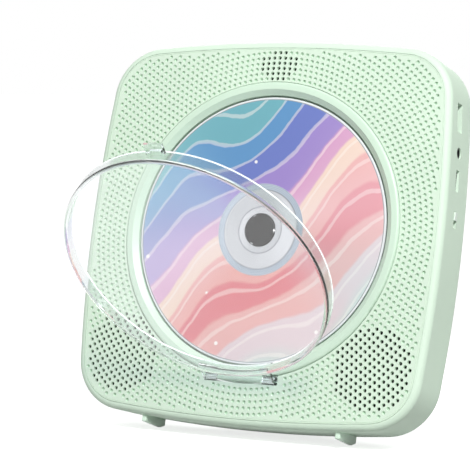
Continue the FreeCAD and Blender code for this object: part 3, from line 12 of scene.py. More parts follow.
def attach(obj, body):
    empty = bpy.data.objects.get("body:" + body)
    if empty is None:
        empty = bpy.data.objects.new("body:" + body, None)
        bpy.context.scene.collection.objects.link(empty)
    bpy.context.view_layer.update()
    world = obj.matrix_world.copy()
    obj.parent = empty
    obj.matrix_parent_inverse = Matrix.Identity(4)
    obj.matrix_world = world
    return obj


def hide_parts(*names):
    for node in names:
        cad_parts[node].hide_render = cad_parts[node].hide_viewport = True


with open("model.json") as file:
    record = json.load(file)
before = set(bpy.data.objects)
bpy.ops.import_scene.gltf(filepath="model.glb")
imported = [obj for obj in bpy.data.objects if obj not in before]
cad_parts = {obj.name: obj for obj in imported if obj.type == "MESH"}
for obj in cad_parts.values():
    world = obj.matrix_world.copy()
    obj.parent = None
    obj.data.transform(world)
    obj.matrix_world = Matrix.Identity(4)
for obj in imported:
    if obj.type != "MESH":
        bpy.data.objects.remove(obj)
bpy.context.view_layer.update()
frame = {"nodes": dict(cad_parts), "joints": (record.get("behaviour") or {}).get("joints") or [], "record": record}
joints = {joint["name"]: joint for joint in frame["joints"]}

# Sizes in millimetres in the body's own frame: x to the right, y from the front face back and z up along the
# face, from the disc centre on the front face. The disc's axis gives that centre and the body's lean.
MM = 0.001
DISC_CENTRE = tuple(part / MM for part in joints["disc_spin"]["pos_m"])
LEAN = math.atan2(joints["disc_spin"]["axis"][2], -joints["disc_spin"]["axis"][1])
HALF, SIDE_ARC, CORNER_ARC, RING_RISE = 86.8, 672.0, 23.7, 1.2
PANEL_EDGE, PANEL_THICK, RING_OPENING = 3.15, 1.6, 67.0
SLOT_HALF, SLOT_LOW = 17.6, 68.9
SIDE_STEPS, CORNER_STEPS, WELL_STEPS = 48, 20, 240
HOLE, HOLE_PITCH, FIRST_ROW, ROW_PITCH, ROW_DROP, ROW_SINK = 0.85, 2.7, 68.6, 2.58, 0.3, 0.2
LAST_ROW, RIM_MARGIN, SLOT_MARGIN, WELL_MARGIN = 125.0, 0.12, 0.5, 0.3
DIMPLE_FLOOR, DIMPLE_DEEP, DIMPLE_POINT, OPEN_FLOOR, OPEN_DEEP, HOLE_SIDES = 0.68, 0.90, 1.05, 0.80, 1.35, 12
LIP, GROOVE_INSET, GROOVE_WIDE, GROOVE_DEEP = 0.12, 0.52, 0.18, 0.16
SPEAKER, SPEAKER_ZONE = (61.07, -58.98), 18.2
WINDOW_RISE, WINDOW_HALF, WINDOW_TALL = 74.275, 9.3, 6.975
DISC_RADIUS, DISC_BORE, DISC_FRONT, DISC_BACK = 60.0, 7.5, 1.3, 2.5
DISC_ROUND, DISC_RIM_ROUND, DISC_MIDDLE, DISC_STEPS = 0.15, 0.16, 40.0, 240
CLAMP_GROOVE, CLAMP_GROOVE_DEEP = (10.2, 10.4, 10.6, 10.8), 0.07
STACK_RIDGE, STACK_RIDGE_TALL = (16.6, 16.9, 17.4, 17.7), 0.1
PRINT_START, PRINT_END = 20.5, 58.9
HINGE, OPEN = (0.3, -66.4), math.radians(-joints["cover_hinge"]["range_deg"][0])
COVER_RADIUS, COVER_WALL, COVER_FRONT, COVER_ROUND = 59.8, 1.8, 6.8, 1.5

# Camera: turned to the object's right and raised, its distance in metres and its lens in millimetres, aimed
# beside the disc centre. Lights aim at a point in metres; the floor's white starts and ends at distances in
# metres. The world's strength and the floor's tone light the object, and the rays that look see white.
CAMERA_TURN, CAMERA_RISE, CAMERA_FAR = math.radians(27.3), math.radians(5.04), 0.924
CAMERA_LENS, CAMERA_SENSOR, AIM_LEFT, AIM_LOW = 159.9, 36.0, 10.75, 2.96
LIGHT_AIM = (0.0, 0.0, 0.09)
FLOOR_HALF, WHITE_START, WHITE_END = 6.0, 0.16, 0.42
AMBIENT, BOUNCE, LOOKING = 0.23, 0.40, ("Camera", "Transmission", "Glossy")


def to_frame(points):
    """Points of the body's own frame, leaned back about x and stood on the floor, in metres."""
    x, y, z = np.asarray(points, float).reshape(-1, 3).T
    cos, sin = math.cos(LEAN), math.sin(LEAN)
    return (np.stack((x, y * cos + z * sin, z * cos - y * sin), 1) + DISC_CENTRE) * MM


class Field:
    """A value that varies over a surface: one socket of a node tree, with arithmetic."""

    def __init__(self, tree, socket):
        self.tree, self.socket = tree, socket

    def node(self, kind, values=None, out=0, **settings):
        """Any other node: its settings first, then its sockets, each a number, a colour or a Field."""
        made = self.tree.nodes.new("ShaderNode" + kind)
        for name, value in settings.items():
            setattr(made, name, value)
        for name, value in (values or {}).items():
            if isinstance(value, Field):
                self.tree.links.new(value.socket, made.inputs[name])
            else:
                made.inputs[name].default_value = value
        return Field(self.tree, made.outputs[out])

    def math(self, operation, first, second=0.0):
        return self.node("Math", {0: first, 1: second}, operation=operation)

    def __add__(self, other):
        return self.math("ADD", self, other)

    def __radd__(self, other):
        return self.math("ADD", other, self)

    def __sub__(self, other):
        return self.math("SUBTRACT", self, other)

    def __rsub__(self, other):
        return self.math("SUBTRACT", other, self)

    def __mul__(self, other):
        return self.math("MULTIPLY", self, other)

    def __rmul__(self, other):
        return self.math("MULTIPLY", other, self)

    def __pow__(self, other):
        return self.math("POWER", self, other)

    def sin(self):
        return self.math("SINE", self)

    def step(self, low, high):
        """0 below low, 1 above high and a smooth rise between."""
        return self.node("MapRange", {"Value": self, "From Min": low, "From Max": high},
                         interpolation_type="SMOOTHSTEP", clamp=True)

    def between(self, low, high, soft):
        """1 between low and high, with soft edges."""
        return self.step(low - soft, low + soft) * (1.0 - self.step(high - soft, high + soft))

    def tint(self, first, second):
        """The first colour where this is 0 and the second where it is 1."""
        return self.node("Mix", {"Factor": self, 6: first, 7: second}, out=2, data_type="RGBA")

    def noise(self, scale, detail=2.0, rough=0.5):
        return self.node("TexNoise", {"Vector": self, "Scale": scale, "Detail": detail, "Roughness": rough})


def rgb(red, green, blue):
    """An sRGB colour of 0 to 255 as linear light."""
    def linear(value):
        value /= 255.0
        return value / 12.92 if value <= 0.04045 else ((value + 0.055) / 1.055) ** 2.4
    return (linear(red), linear(green), linear(blue), 1.0)


def shade(colour, share):
    """A colour made darker or lighter by a share."""
    return tuple(min(1.0, part * share) for part in colour[:3]) + (1.0,)


def start(name, coordinates="Object", **fixed):
    """A new material, its coordinates and its shader, with the fixed values set on the shader itself."""
    made = bpy.data.materials.new(name)
    made.use_nodes = True
    tree = made.node_tree
    shader = next(node for node in tree.nodes if node.type == "BSDF_PRINCIPLED")
    for key, value in fixed.items():
        shader.inputs[key.replace("_", " ")].default_value = value
    place = tree.nodes.new("ShaderNodeTexCoord")
    return made, Field(tree, place.outputs[coordinates]), shader


def feed(shader, **fields):
    """Links fields to the shader's sockets, with an underscore for each space of a socket's name."""
    for key, field in fields.items():
        field.tree.links.new(field.socket, shader.inputs[key.replace("_", " ")])


def rays(tree, kinds):
    """1 on light rays of any of these kinds and 0 on others."""
    path = tree.nodes.new("ShaderNodeLightPath")
    found, *more = [Field(tree, path.outputs["Is %s Ray" % kind]) for kind in kinds]
    for other in more:
        found = found.math("MAXIMUM", found, other)
    return found


def surface_by_ray(kinds, usual, special):
    """Ends a material in its usual shader, and in the special one on light rays of these kinds."""
    tree = usual.tree
    both = usual.node("MixShader", {0: rays(tree, kinds), 1: usual, 2: special})
    output = next(node for node in tree.nodes if node.type == "OUTPUT_MATERIAL")
    tree.links.new(both.socket, output.inputs["Surface"])


def moulded(name, colour, rough=0.42, grain=0.05, size=2400.0, **fixed):
    """Moulded plastic: a slow drift of tone, a fine spark-eroded grain and a little uneven gloss."""
    made, here, shader = start(name, **fixed)
    drift, fine = here.noise(26.0, 2.0), here.noise(size, 2.0, 0.6)
    tone = drift * 0.7 + fine * 0.3
    feed(shader,
         Base_Color=tone.step(0.3, 0.7).tint(shade(colour, 0.972), shade(colour, 1.02)),
         Roughness=fine * 0.12 + drift * 0.06 + (rough - 0.09),
         Normal=here.node("Bump", {"Height": fine, "Strength": grain, "Distance": 0.0002}))
    return made


def metal(name, colour, rough=0.3, along=(40.0, 900.0, 900.0)):
    """Drawn metal: fine lines along one way and a slow change of gloss."""
    made, here, shader = start(name, Metallic=1.0)
    lines = here.node("Mapping", {"Vector": here, "Scale": along}).noise(4.0, 3.0)
    feed(shader,
         Base_Color=lines.tint(shade(colour, 0.86), shade(colour, 1.06)),
         Roughness=lines * 0.2 + (rough - 0.1),
         Normal=here.node("Bump", {"Height": lines, "Strength": 0.05, "Distance": 0.0002}))
    return made


def board(name, colour):
    """Circuit board: lacquered tracks as slightly raised bands."""
    made, here, shader = start(name)
    tracks = here.node("TexBrick", {"Vector": here, "Scale": 260.0, "Mortar Size": 0.035, "Bias": 0.0}, out=1)
    fine = here.noise(900.0)
    feed(shader,
         Base_Color=(tracks * 0.8 + fine * 0.2).tint(shade(colour, 0.8), shade(colour, 1.5)),
         Roughness=fine * 0.2 + 0.3,
         Normal=here.node("Bump", {"Height": tracks, "Strength": 0.2, "Distance": 0.0001}))
    return made


def clear(name, colour=(0.965, 0.972, 0.985, 1.0), rough=0.015):
    """Clear cast plastic with a faint tint; shadow and diffuse rays pass it straight, for a pale shadow."""
    made, here, shader = start(name, Transmission_Weight=1.0, IOR=1.49)
    haze = here.noise(18.0)
    feed(shader,
         Base_Color=haze.tint(shade(colour, 0.99), shade(colour, 1.01)),
         Roughness=haze * 2.0 * rough)
    open_way = here.node("BsdfTransparent", {"Color": (0.93, 0.94, 0.96, 1.0)})
    surface_by_ray(("Shadow", "Diffuse"), Field(here.tree, shader.outputs[0]), open_way)
    return made


def across_disc(here):
    """Places on the disc's face in millimetres from its centre, to the right and up, from its UV map."""
    wide = 2.0 * DISC_RADIUS
    return tuple((here.node("SeparateXYZ", {0: here}, out=axis) - 0.5) * wide for axis in (0, 1))


def printed(name):
    """The disc's face: silvery and frosted rings round the hole, then a print of waving ribbons and dots, with a
    painted sheen of pale pink and pale cyan fans by angle for the disc's rainbow reflections.
    """
    made, here, shader = start(name, "UV", Coat_Roughness=0.06, IOR=1.5)
    right, up = across_disc(here)
    reach = (right * right + up * up) ** 0.5
    turn = right.math("ARCTAN2", up, right)
    slope = up * 0.80 - right * 0.60
    wave = slope + (right * 0.075 + up * 0.03 + 0.6).sin() * 5.5 + (right * 0.15 - up * 0.06).sin() * 2.2
    fine = here.noise(9.0, 3.0)
    wave = wave + fine * 3.0
    ink = wave.step(-60.0, -46.0).tint(rgb(196, 222, 212), rgb(226, 206, 210))
    for edge, colour in ((-38.0, (232, 172, 168)), (-27.0, (222, 116, 124)), (-16.0, (232, 166, 160)),
                         (-5.0, (240, 212, 192)), (6.0, (214, 158, 196)), (15.0, (156, 134, 200)),
                         (25.0, (106, 122, 192)), (36.0, (92, 146, 194)), (47.0, (108, 172, 184))):
        ink = wave.step(edge - 0.9, edge + 0.9).tint(ink, rgb(*colour))
    ripple = (wave * 0.57).sin()
    ink = (ripple.step(0.86, 0.97) * 0.35).tint(ink, rgb(255, 248, 240))
    # Painted sheen: pale pink and pale cyan fans by angle round the disc, standing in for its rainbow reflections.
    painted_sheen = ((turn * 2.0 + 0.9).sin() * 0.5 + 0.5) ** 5.0
    ink = (painted_sheen * 0.30).tint(ink, rgb(250, 238, 250))
    painted_cool_sheen = ((turn * 2.0 + 2.3).sin() * 0.5 + 0.5) ** 7.0
    ink = (painted_cool_sheen * 0.22).tint(ink, rgb(188, 236, 240))
    cells = {"Vector": here, "Scale": 15.0, "Randomness": 0.85}
    dots, pick = (here.node("TexVoronoi", cells, out=out, feature="F1") for out in (0, 1))
    chosen = here.node("SeparateColor", {0: pick}).step(0.70, 0.72)
    ink = ((1.0 - dots.step(0.10, 0.13)) * chosen * 0.85).tint(ink, rgb(255, 250, 246))
    grooves = (reach * 9.0).sin() * 0.5 + 0.5
    silver = (grooves * 0.5 + fine * 0.5).tint(rgb(190, 192, 196), rgb(218, 220, 224))
    frosted = grooves.tint(rgb(162, 176, 192), rgb(194, 204, 214))
    clamp, hub_end = CLAMP_GROOVE[0], STACK_RIDGE[3]
    line = reach.between(clamp, clamp + 0.5, 0.15) + reach.between(hub_end - 0.2, hub_end + 0.2, 0.12)
    hub = reach.step(hub_end, hub_end + 0.2).tint(silver, frosted)
    hub = (line.step(0.2, 0.8) * 0.7).tint(hub, rgb(120, 124, 130))
    past_hub = reach.step(PRINT_START - 0.1, PRINT_START + 0.2)
    face = past_hub.tint(hub, ink)
    # Pale outer ring: the clear rim's own tone, made whiter as a painted highlight along the disc's edge.
    face = reach.step(PRINT_END - 0.1, PRINT_END + 0.05).tint(face, rgb(232, 236, 238))
    face = (reach.between(PRINT_END - 0.05, PRINT_END + 0.3, 0.1) * 0.75).tint(face, rgb(112, 116, 122))
    inked = reach.between(PRINT_START + 0.1, PRINT_END, 0.1)
    feed(shader, Base_Color=face,
         Metallic=(1.0 - past_hub) * 0.55,
         Roughness=inked * 0.16 + grooves * 0.05 + 0.16,
         Coat_Weight=inked * 0.10 + 0.1,
         Normal=here.node("Bump", {"Height": grooves * (1.0 - inked), "Strength": 0.15, "Distance": 0.0001}))
    return made


def mirror(name):
    """The disc's playing side: bright metal under clear plastic, with track rings and a thin-film tint."""
    made, here, shader = start(name, "UV", Metallic=1.0, Coat_Weight=1.0, Thin_Film_Thickness=420.0)
    right, up = across_disc(here)
    rings = (((right * right + up * up) ** 0.5) * 14.0).sin() * 0.5 + 0.5
    feed(shader, Base_Color=rings.tint(rgb(204, 208, 216), rgb(226, 228, 232)), Roughness=rings * 0.05 + 0.12)
    return made


MINT = rgb(219, 240, 220)
FINISH = {
    "mint_shell": moulded("mint_shell", MINT, 0.56),
    "mint_panel": moulded("mint_panel", rgb(220, 240, 220), 0.46, 0.07),
    "mint_tray": moulded("mint_tray", rgb(213, 237, 216), 0.32, 0.03),
    "mint_keys": moulded("mint_keys", rgb(222, 242, 222), 0.36),
    # The feet's mint is paler than the shell's: partly their own paler plastic, partly painted light that lifts
    # their shaded sides under the body.
    "foot_mint": moulded("foot_mint", rgb(222, 245, 226), 0.38),
    "stand_mint": moulded("stand_mint", MINT, 0.42),
    "knob_pale": moulded("knob_pale", rgb(226, 240, 228), 0.34),
    "hub_grey": moulded("hub_grey", rgb(22, 21, 21), 0.45, 0.04, Specular_IOR_Level=0.2),
    "deck_black": moulded("deck_black", rgb(30, 31, 33), 0.5, 0.1),
    "soft_rubber": moulded("soft_rubber", rgb(52, 54, 54), 0.75, 0.2, 1200.0),
    "lens_holder": moulded("lens_holder", rgb(38, 40, 44), 0.45),
    "speaker_frame": moulded("speaker_frame", rgb(40, 42, 44), 0.5),
    "speaker_cone": moulded("speaker_cone", rgb(26, 27, 28), 0.8, 0.4, 900.0),
    "speaker_magnet": metal("speaker_magnet", rgb(120, 122, 126), 0.4),
    "chip_black": moulded("chip_black", rgb(28, 29, 31), 0.55, 0.15),
    "cell_wrap": moulded("cell_wrap", rgb(120, 150, 176), 0.35),
    "socket_black": moulded("socket_black", rgb(24, 25, 27), 0.38),
    "steel": metal("steel", rgb(226, 227, 229), 0.46),
    "motor_can": metal("motor_can", rgb(176, 178, 182), 0.34),
    "socket_shell": metal("socket_shell", rgb(202, 204, 206), 0.26),
    "pickup_alloy": metal("pickup_alloy", rgb(168, 170, 174), 0.42),
    "board_green": board("board_green", rgb(40, 98, 66)),
    "lens_glass": clear("lens_glass"),
    "clear_cover": clear("clear_cover"),
    "printed_disc": printed("printed_disc"),
}
# Near-black caps at the ends of the open holes: painted shade in the holes, also standing for a dark grille cloth
# behind them.
GRILLE_CLOTH_AND_HOLE_SHADE = moulded("grille_cloth_and_hole_shade", rgb(14, 16, 15), 0.9, 0.3, 1500.0)
# Painted shade: a darker mint on the bottoms of the blind dimples.
PIT_PAINTED_SHADE = moulded("dimple_painted_shade", rgb(196, 219, 199), 0.6, 0.1)
# The cover's walls and rim take a grey-green tint: partly the plastic's own tint through its thickness, partly
# painted shade for its grey edges.
EDGE = clear("clear_edge", (0.80, 0.85, 0.84, 1.0), 0.05)
BEND = clear("clear_bend", (0.95, 0.96, 0.965, 1.0), 0.30)
PLAYING = mirror("playing_side")


def mesh_of(name, points, *face_sets):
    """A mesh from whole arrays: points, then sets of faces with equal corner counts."""
    made = bpy.data.meshes.new(name)
    corners = np.concatenate([np.asarray(faces, np.int32).ravel() for faces in face_sets])
    counts = np.concatenate([np.full(len(faces), np.shape(faces)[1], np.int32) for faces in face_sets])
    starts = np.concatenate(([0], np.cumsum(counts)[:-1])).astype(np.int32)
    made.vertices.add(len(points))
    made.vertices.foreach_set("co", np.asarray(points, np.float32).ravel())
    made.loops.add(len(corners))
    made.loops.foreach_set("vertex_index", corners)
    made.polygons.add(len(counts))
    made.polygons.foreach_set("loop_start", starts)
    made.polygons.foreach_set("loop_total", counts)
    made.update(calc_edges=True)
    made.validate()
    return made


def piece(name, mesh, body, finishes, nodes, sharp=35.0):
    """Puts a mesh into the scene as one piece that rides on a body and stands for CAD nodes."""
    mesh.materials.clear()
    for finish in finishes:
        mesh.materials.append(finish)
    mesh.shade_smooth()
    mesh.set_sharp_from_angle(angle=math.radians(sharp))
    made = bpy.data.objects.new(name, mesh)
    bpy.context.scene.collection.objects.link(made)
    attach(made, body)
    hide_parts(*nodes)
    return made


def dress(name, node, soften=0.0, sharp=30.0, even=True):
    """A smooth copy of a CAD node that stands for it, with merged corners and, if asked, softened edges."""
    mesh = frame["nodes"][node].data.copy()
    mesh.name = name
    for layer in ("custom_normal", "sharp_edge", "sharp_face"):
        if layer in mesh.attributes:
            mesh.attributes.remove(mesh.attributes[layer])
    work = bmesh.new()
    work.from_mesh(mesh)
    bmesh.ops.remove_doubles(work, verts=work.verts, dist=2e-6)
    if soften:
        bmesh.ops.dissolve_limit(work, angle_limit=math.radians(1.0), verts=work.verts, edges=work.edges)
    work.to_mesh(mesh)
    work.free()
    body = next(body for body, members in frame["record"]["behaviour"]["bodies"].items() if node in members)
    made = piece(name, mesh, body, [FINISH[SLOT_OF[node]]], [node], sharp)
    if soften:
        bevel = made.modifiers.new("soft_edges", "BEVEL")
        bevel.width, bevel.segments, bevel.limit_method = soften * MM, 3, "ANGLE"
        bevel.angle_limit = math.radians(35.0)
    if even:
        level = made.modifiers.new("even_shading", "WEIGHTED_NORMAL")
        level.mode, level.weight, level.keep_sharp = "FACE_AREA", 100, True
    return made


def even_cover(made):
    """True normals for the clear cover: away from its axis on the rim's walls, away from the middle of the
    rounding on the rounded edge, and the face's own elsewhere. The flat panes, the rounding and the rest get
    a finish each."""
    touch, level = 0.02, 0.9999
    mesh = made.data
    cos, sin = math.cos(LEAN), math.sin(LEAN)
    points = np.zeros(len(mesh.vertices) * 3, np.float32)
    mesh.vertices.foreach_get("co", points)
    x, y, z = (points.reshape(-1, 3) / MM - DISC_CENTRE).T
    own = np.stack((x, y * cos - z * sin, y * sin + z * cos), 1) - (0.0, *HINGE)
    swing = np.array(((1.0, 0.0, 0.0), (0.0, math.cos(OPEN), math.sin(OPEN)),
                      (0.0, -math.sin(OPEN), math.cos(OPEN))))
    own = own @ swing.T + (0.0, *HINGE)
    turn = np.array(((1.0, 0.0, 0.0), (0.0, cos, sin), (0.0, -sin, cos))) @ swing.T
    corner = np.zeros(len(mesh.loops), np.int32)
    mesh.loops.foreach_get("vertex_index", corner)
    flat = np.zeros(len(mesh.polygons) * 3, np.float32)
    mesh.polygons.foreach_get("normal", flat)
    sides = np.zeros(len(mesh.polygons), np.int32)
    mesh.polygons.foreach_get("loop_total", sides)
    face = np.repeat(np.arange(len(sides)), sides)
    flat = (flat.reshape(-1, 3) @ turn)[face]
    spot = own[corner]
    reach = np.hypot(spot[:, 0], spot[:, 2])
    radial = np.stack((spot[:, 0], np.zeros(len(spot)), spot[:, 2]), 1) / np.maximum(reach, 1e-6)[:, None]
    outward = (flat * radial).sum(1)
    normal = flat.copy()
    for radius in (COVER_RADIUS, COVER_RADIUS - COVER_WALL):
        wall = (np.abs(reach - radius) < touch) & (np.abs(flat[:, 1]) < touch) & (np.abs(outward) > 0.99)
        normal[wall] = radial[wall] * np.sign(outward[wall])[:, None]
    ring = radial * (COVER_RADIUS - COVER_ROUND) + (0.0, COVER_ROUND - COVER_FRONT, 0.0)
    bend = spot - ring
    bend /= np.maximum(np.linalg.norm(bend, axis=1), 1e-6)[:, None]
    rounded = (flat[:, 1] < -0.05) & (flat[:, 1] > -0.985) & (outward > 0.1)
    rounded &= spot[:, 1] < COVER_ROUND - COVER_FRONT + touch
    normal[rounded] = bend[rounded]
    mesh.normals_split_custom_set((normal @ turn.T).tolist())
    first = np.concatenate(([0], np.cumsum(sides)[:-1]))
    farthest = np.maximum.reduceat(reach, first)
    pane = (np.abs(flat[first, 1]) > level) & (farthest < COVER_RADIUS - COVER_ROUND + 0.05)
    # The walls and rim get a grey-green tint, partly the plastic's own and partly painted shade for their grey
    # edges.
    mesh.materials.append(EDGE)
    mesh.materials.append(BEND)
    finish = np.where(pane, 0, np.where(rounded[first], 2, 1))
    mesh.polygons.foreach_set("material_index", finish.astype(np.int32))


SLOT_OF = {entry["node"]: entry["material_slot"] for entry in frame["record"]["subparts"]}
for node, thing in frame["nodes"].items():
    thing.data.materials.clear()
    thing.data.materials.append(FINISH[SLOT_OF[node]])


def outline(inset):
    """The body's outline pulled in by an inset, once round from the right side's foot: each side is a shallow
    arc about a point far behind it, each corner a round arc, tangent where they meet."""
    far, gap = SIDE_ARC - HALF, SIDE_ARC - CORNER_ARC
    middle = (math.sqrt(2.0 * gap * gap - far * far) - far) / 2.0
    swing = math.atan2(middle, middle + far)
    side = np.linspace(-swing, swing, SIDE_STEPS, endpoint=False)
    corner = np.linspace(swing, math.pi / 2.0 - swing, CORNER_STEPS, endpoint=False)
    shallow, tight = SIDE_ARC - inset, CORNER_ARC - inset
    x = np.concatenate((shallow * np.cos(side) - far, middle + tight * np.cos(corner)))
    z = np.concatenate((shallow * np.sin(side), middle + tight * np.sin(corner)))
    loop = np.concatenate([np.stack(pair, 1) for pair in ((x, z), (-z, x), (-x, -z), (z, -x))])
    loop[:, 1] -= RING_RISE
    return loop


def ring_opening():
    """The panel's inner edge: the circle round the disc well, let out downwards by the hinge's slot."""
    foot = math.asin(SLOT_HALF / RING_OPENING)
    angle = np.linspace(foot - math.pi / 2.0, math.pi * 1.5 - foot, WELL_STEPS)
    arc = RING_OPENING * np.stack((np.cos(angle), np.sin(angle)), 1)
    return np.concatenate((arc, [(-SLOT_HALF, -SLOT_LOW), (SLOT_HALF, -SLOT_LOW)]))


def hole_centres():
    """Rings of holes round the well, each ring's count from its length, about centres that sink to the body's
    own."""
    rows, row, drop = [], FIRST_ROW, ROW_DROP
    while row < LAST_ROW:
        count = round(2.0 * math.pi * row / HOLE_PITCH)
        angle = 2.0 * math.pi * np.arange(count) / count + math.pi / 2.0
        rows.append(np.stack((row * np.cos(angle), row * np.sin(angle) - drop), 1))
        row, drop = row + ROW_PITCH, min(drop + ROW_SINK, RING_RISE)
    return np.concatenate(rows)


def strip(first, second, count):
    """Quads between two closed loops of equal count, given by the numbers of their first points."""
    here = np.arange(count)
    after = (here + 1) % count
    return np.stack((first + here, first + after, second + after, second + here), 1)


def fill(loops, hollow):
    """Triangles of the flat area inside the first loop and outside the others, by a triangulation that keeps
    the loops' edges; hollow says what lies in the second loop."""
    points = np.concatenate(loops)
    owner = np.concatenate([np.full(len(loop), number) for number, loop in enumerate(loops)])
    edges, base = [], 0
    for loop in loops:
        here = base + np.arange(len(loop))
        edges.append(np.stack((here, np.roll(here, -1)), 1))
        base += len(loop)
    edges = [tuple(map(int, edge)) for edge in np.concatenate(edges)]
    _, _, faces, origin, _, _ = delaunay_2d_cdt([Vector(point) for point in points], edges, [], 0, 1e-5)
    first = np.array([found[0] for found in origin])
    faces = first[np.array(faces)]
    middle = points[faces].mean(1)
    own = owner[faces]
    inside = (own[:, 0] == own[:, 1]) & (own[:, 1] == own[:, 2]) & (own[:, 0] > 1)
    return faces[~inside & ~hollow(middle)]


def panel_holes(rim_loop):
    """Centres of the holes that the panel has room for: within the rim's reach at their own angle, and clear
    of the rim, the well and the hinge's slot."""
    centre = hole_centres()
    x, z = (rim_loop + (0.0, RING_RISE)).T
    reach, way = np.hypot(x, z), np.arctan2(z, x)
    order = np.argsort(way)
    turn = np.arctan2(centre[:, 1] + RING_RISE, centre[:, 0])
    bound = np.interp(turn, way[order], reach[order], period=2.0 * math.pi)
    edge = np.roll(rim_loop, -1, 0) - rim_loop
    away = centre[:, None] - rim_loop[None]
    along = np.clip((away * edge).sum(2) / (edge ** 2).sum(1), 0.0, 1.0)
    near = np.sqrt(((away - along[..., None] * edge) ** 2).sum(2)).min(1)
    slot_room = HOLE + SLOT_MARGIN
    slotted = (np.abs(centre[:, 0]) < SLOT_HALF + slot_room) & (centre[:, 1] < 0.0)
    slotted &= -centre[:, 1] < SLOT_LOW + slot_room
    kept = (np.hypot(centre[:, 0], centre[:, 1] + RING_RISE) < bound) & (near > HOLE + RIM_MARGIN) & ~slotted
    return centre[kept & (np.hypot(*centre.T) > RING_OPENING + HOLE + WELL_MARGIN)]


def front_plate():
    """The perforated panel: flat front with a fine groove round it, blind dimples in rings as short bowls of a
    rim, a wall ring and a middle point, their bottoms a darker mint as painted shade, and open holes before the
    speakers and receiver whose near-black ends are painted shade that also stands for a dark grille cloth."""
    rim_loop, well = outline(PANEL_EDGE + GROOVE_INSET + GROOVE_WIDE), ring_opening()
    centre = panel_holes(rim_loop)
    speaker = np.hypot(np.abs(centre[:, 0]) - SPEAKER[0], centre[:, 1] - SPEAKER[1]) < SPEAKER_ZONE
    window = np.hypot(centre[:, 0] / WINDOW_HALF, (centre[:, 1] - WINDOW_RISE) / WINDOW_TALL) < 1.0
    through = speaker | window
    around = 2.0 * math.pi * np.arange(HOLE_SIDES) / HOLE_SIDES
    circle = np.stack((np.cos(around), np.sin(around)), 1)
    rims = centre[:, None] + HOLE * circle[None]
    loops = [rim_loop, well, *rims]

    def hollow(middle):
        slot = (np.abs(middle[:, 0]) < SLOT_HALF) & (middle[:, 1] < 0.0) & (middle[:, 1] > -SLOT_LOW)
        return (np.hypot(*middle.T) < RING_OPENING) | slot

    front = fill(loops, hollow)
    flat = np.concatenate(loops)
    points = [np.stack((flat[:, 0], np.zeros(len(flat)), flat[:, 1]), 1)]
    total = len(flat)
    first_rim = len(rim_loop) + len(well)
    number = np.arange(len(centre) * HOLE_SIDES).reshape(-1, HOLE_SIDES)
    rim, wall = first_rim + number, total + number
    inner = centre[:, None] + np.where(through, OPEN_FLOOR, DIMPLE_FLOOR)[:, None, None] * circle[None]
    depth = np.broadcast_to(np.where(through, OPEN_DEEP, DIMPLE_DEEP)[:, None], number.shape)
    points.append(np.stack((inner[..., 0], depth, inner[..., 1]), 2).reshape(-1, 3))
    total += number.size
    points.append(np.stack((centre[:, 0], np.where(through, OPEN_DEEP, DIMPLE_POINT), centre[:, 1]), 1))
    middle = total + np.arange(len(centre))
    total += len(centre)
    sides = np.stack((rim, np.roll(rim, -1, 1), np.roll(wall, -1, 1), wall), 2)
    bottoms = np.stack((wall, np.roll(wall, -1, 1), np.broadcast_to(middle[:, None], wall.shape)), 2)
    # Border: groove, lip, edge and back, as loops from the front's rim outwards, then the well's wall.
    borders = []
    last, count = 0, len(rim_loop)
    for inset, y in ((GROOVE_INSET + GROOVE_WIDE / 2.0, GROOVE_DEEP), (GROOVE_INSET, 0.0), (LIP, 0.0),
                     (0.0, LIP), (0.0, PANEL_THICK)):
        loop = outline(PANEL_EDGE + inset)
        points.append(np.stack((loop[:, 0], np.full(count, y), loop[:, 1]), 1))
        borders.append(strip(total, last, count))
        last, total = total, total + count
    points.append(np.stack((well[:, 0], np.full(len(well), PANEL_THICK), well[:, 1]), 1))
    borders.append(strip(count, total, len(well)))
    back = fill([outline(PANEL_EDGE), well], hollow)
    back = np.where(back < count, back + last, back - count + total)[:, ::-1]
    quads = np.concatenate((sides.reshape(-1, 4), *borders))
    open_ends = bottoms[through].reshape(-1, 3)
    pits = bottoms[~through].reshape(-1, 3)
    tris = np.concatenate((front, back))
    mesh = mesh_of("front_plate", to_frame(np.concatenate(points)), quads, tris, open_ends, pits)
    index = np.repeat((0, 1, 2), (len(quads) + len(tris), len(open_ends), len(pits))).astype(np.int32)
    # The near-black hole ends and the darker pit bottoms are painted shade.
    finishes = [FINISH["mint_panel"], GRILLE_CLOTH_AND_HOLE_SHADE, PIT_PAINTED_SHADE]
    piece("front_plate", mesh, "base", finishes, ["front_panel"], 32.0)
    mesh.polygons.foreach_set("material_index", index)


def revolve(profile, steps):
    """A closed ring of revolution about the disc's axis: a profile of radius and depth carried once round."""
    profile = np.asarray(profile, float)
    angle = 2.0 * math.pi * np.arange(steps) / steps
    points = np.stack((profile[None, :, 0] * np.cos(angle)[:, None],
                       np.broadcast_to(profile[None, :, 1], (steps, len(profile))),
                       profile[None, :, 0] * np.sin(angle)[:, None]), 2)
    number = np.arange(steps * len(profile)).reshape(steps, len(profile))
    across, along = np.roll(number, -1, 1), np.roll(number, -1, 0)
    faces = np.stack((number, across, np.roll(across, -1, 0), along), 2)
    return points.reshape(-1, 3), faces.reshape(-1, 4)


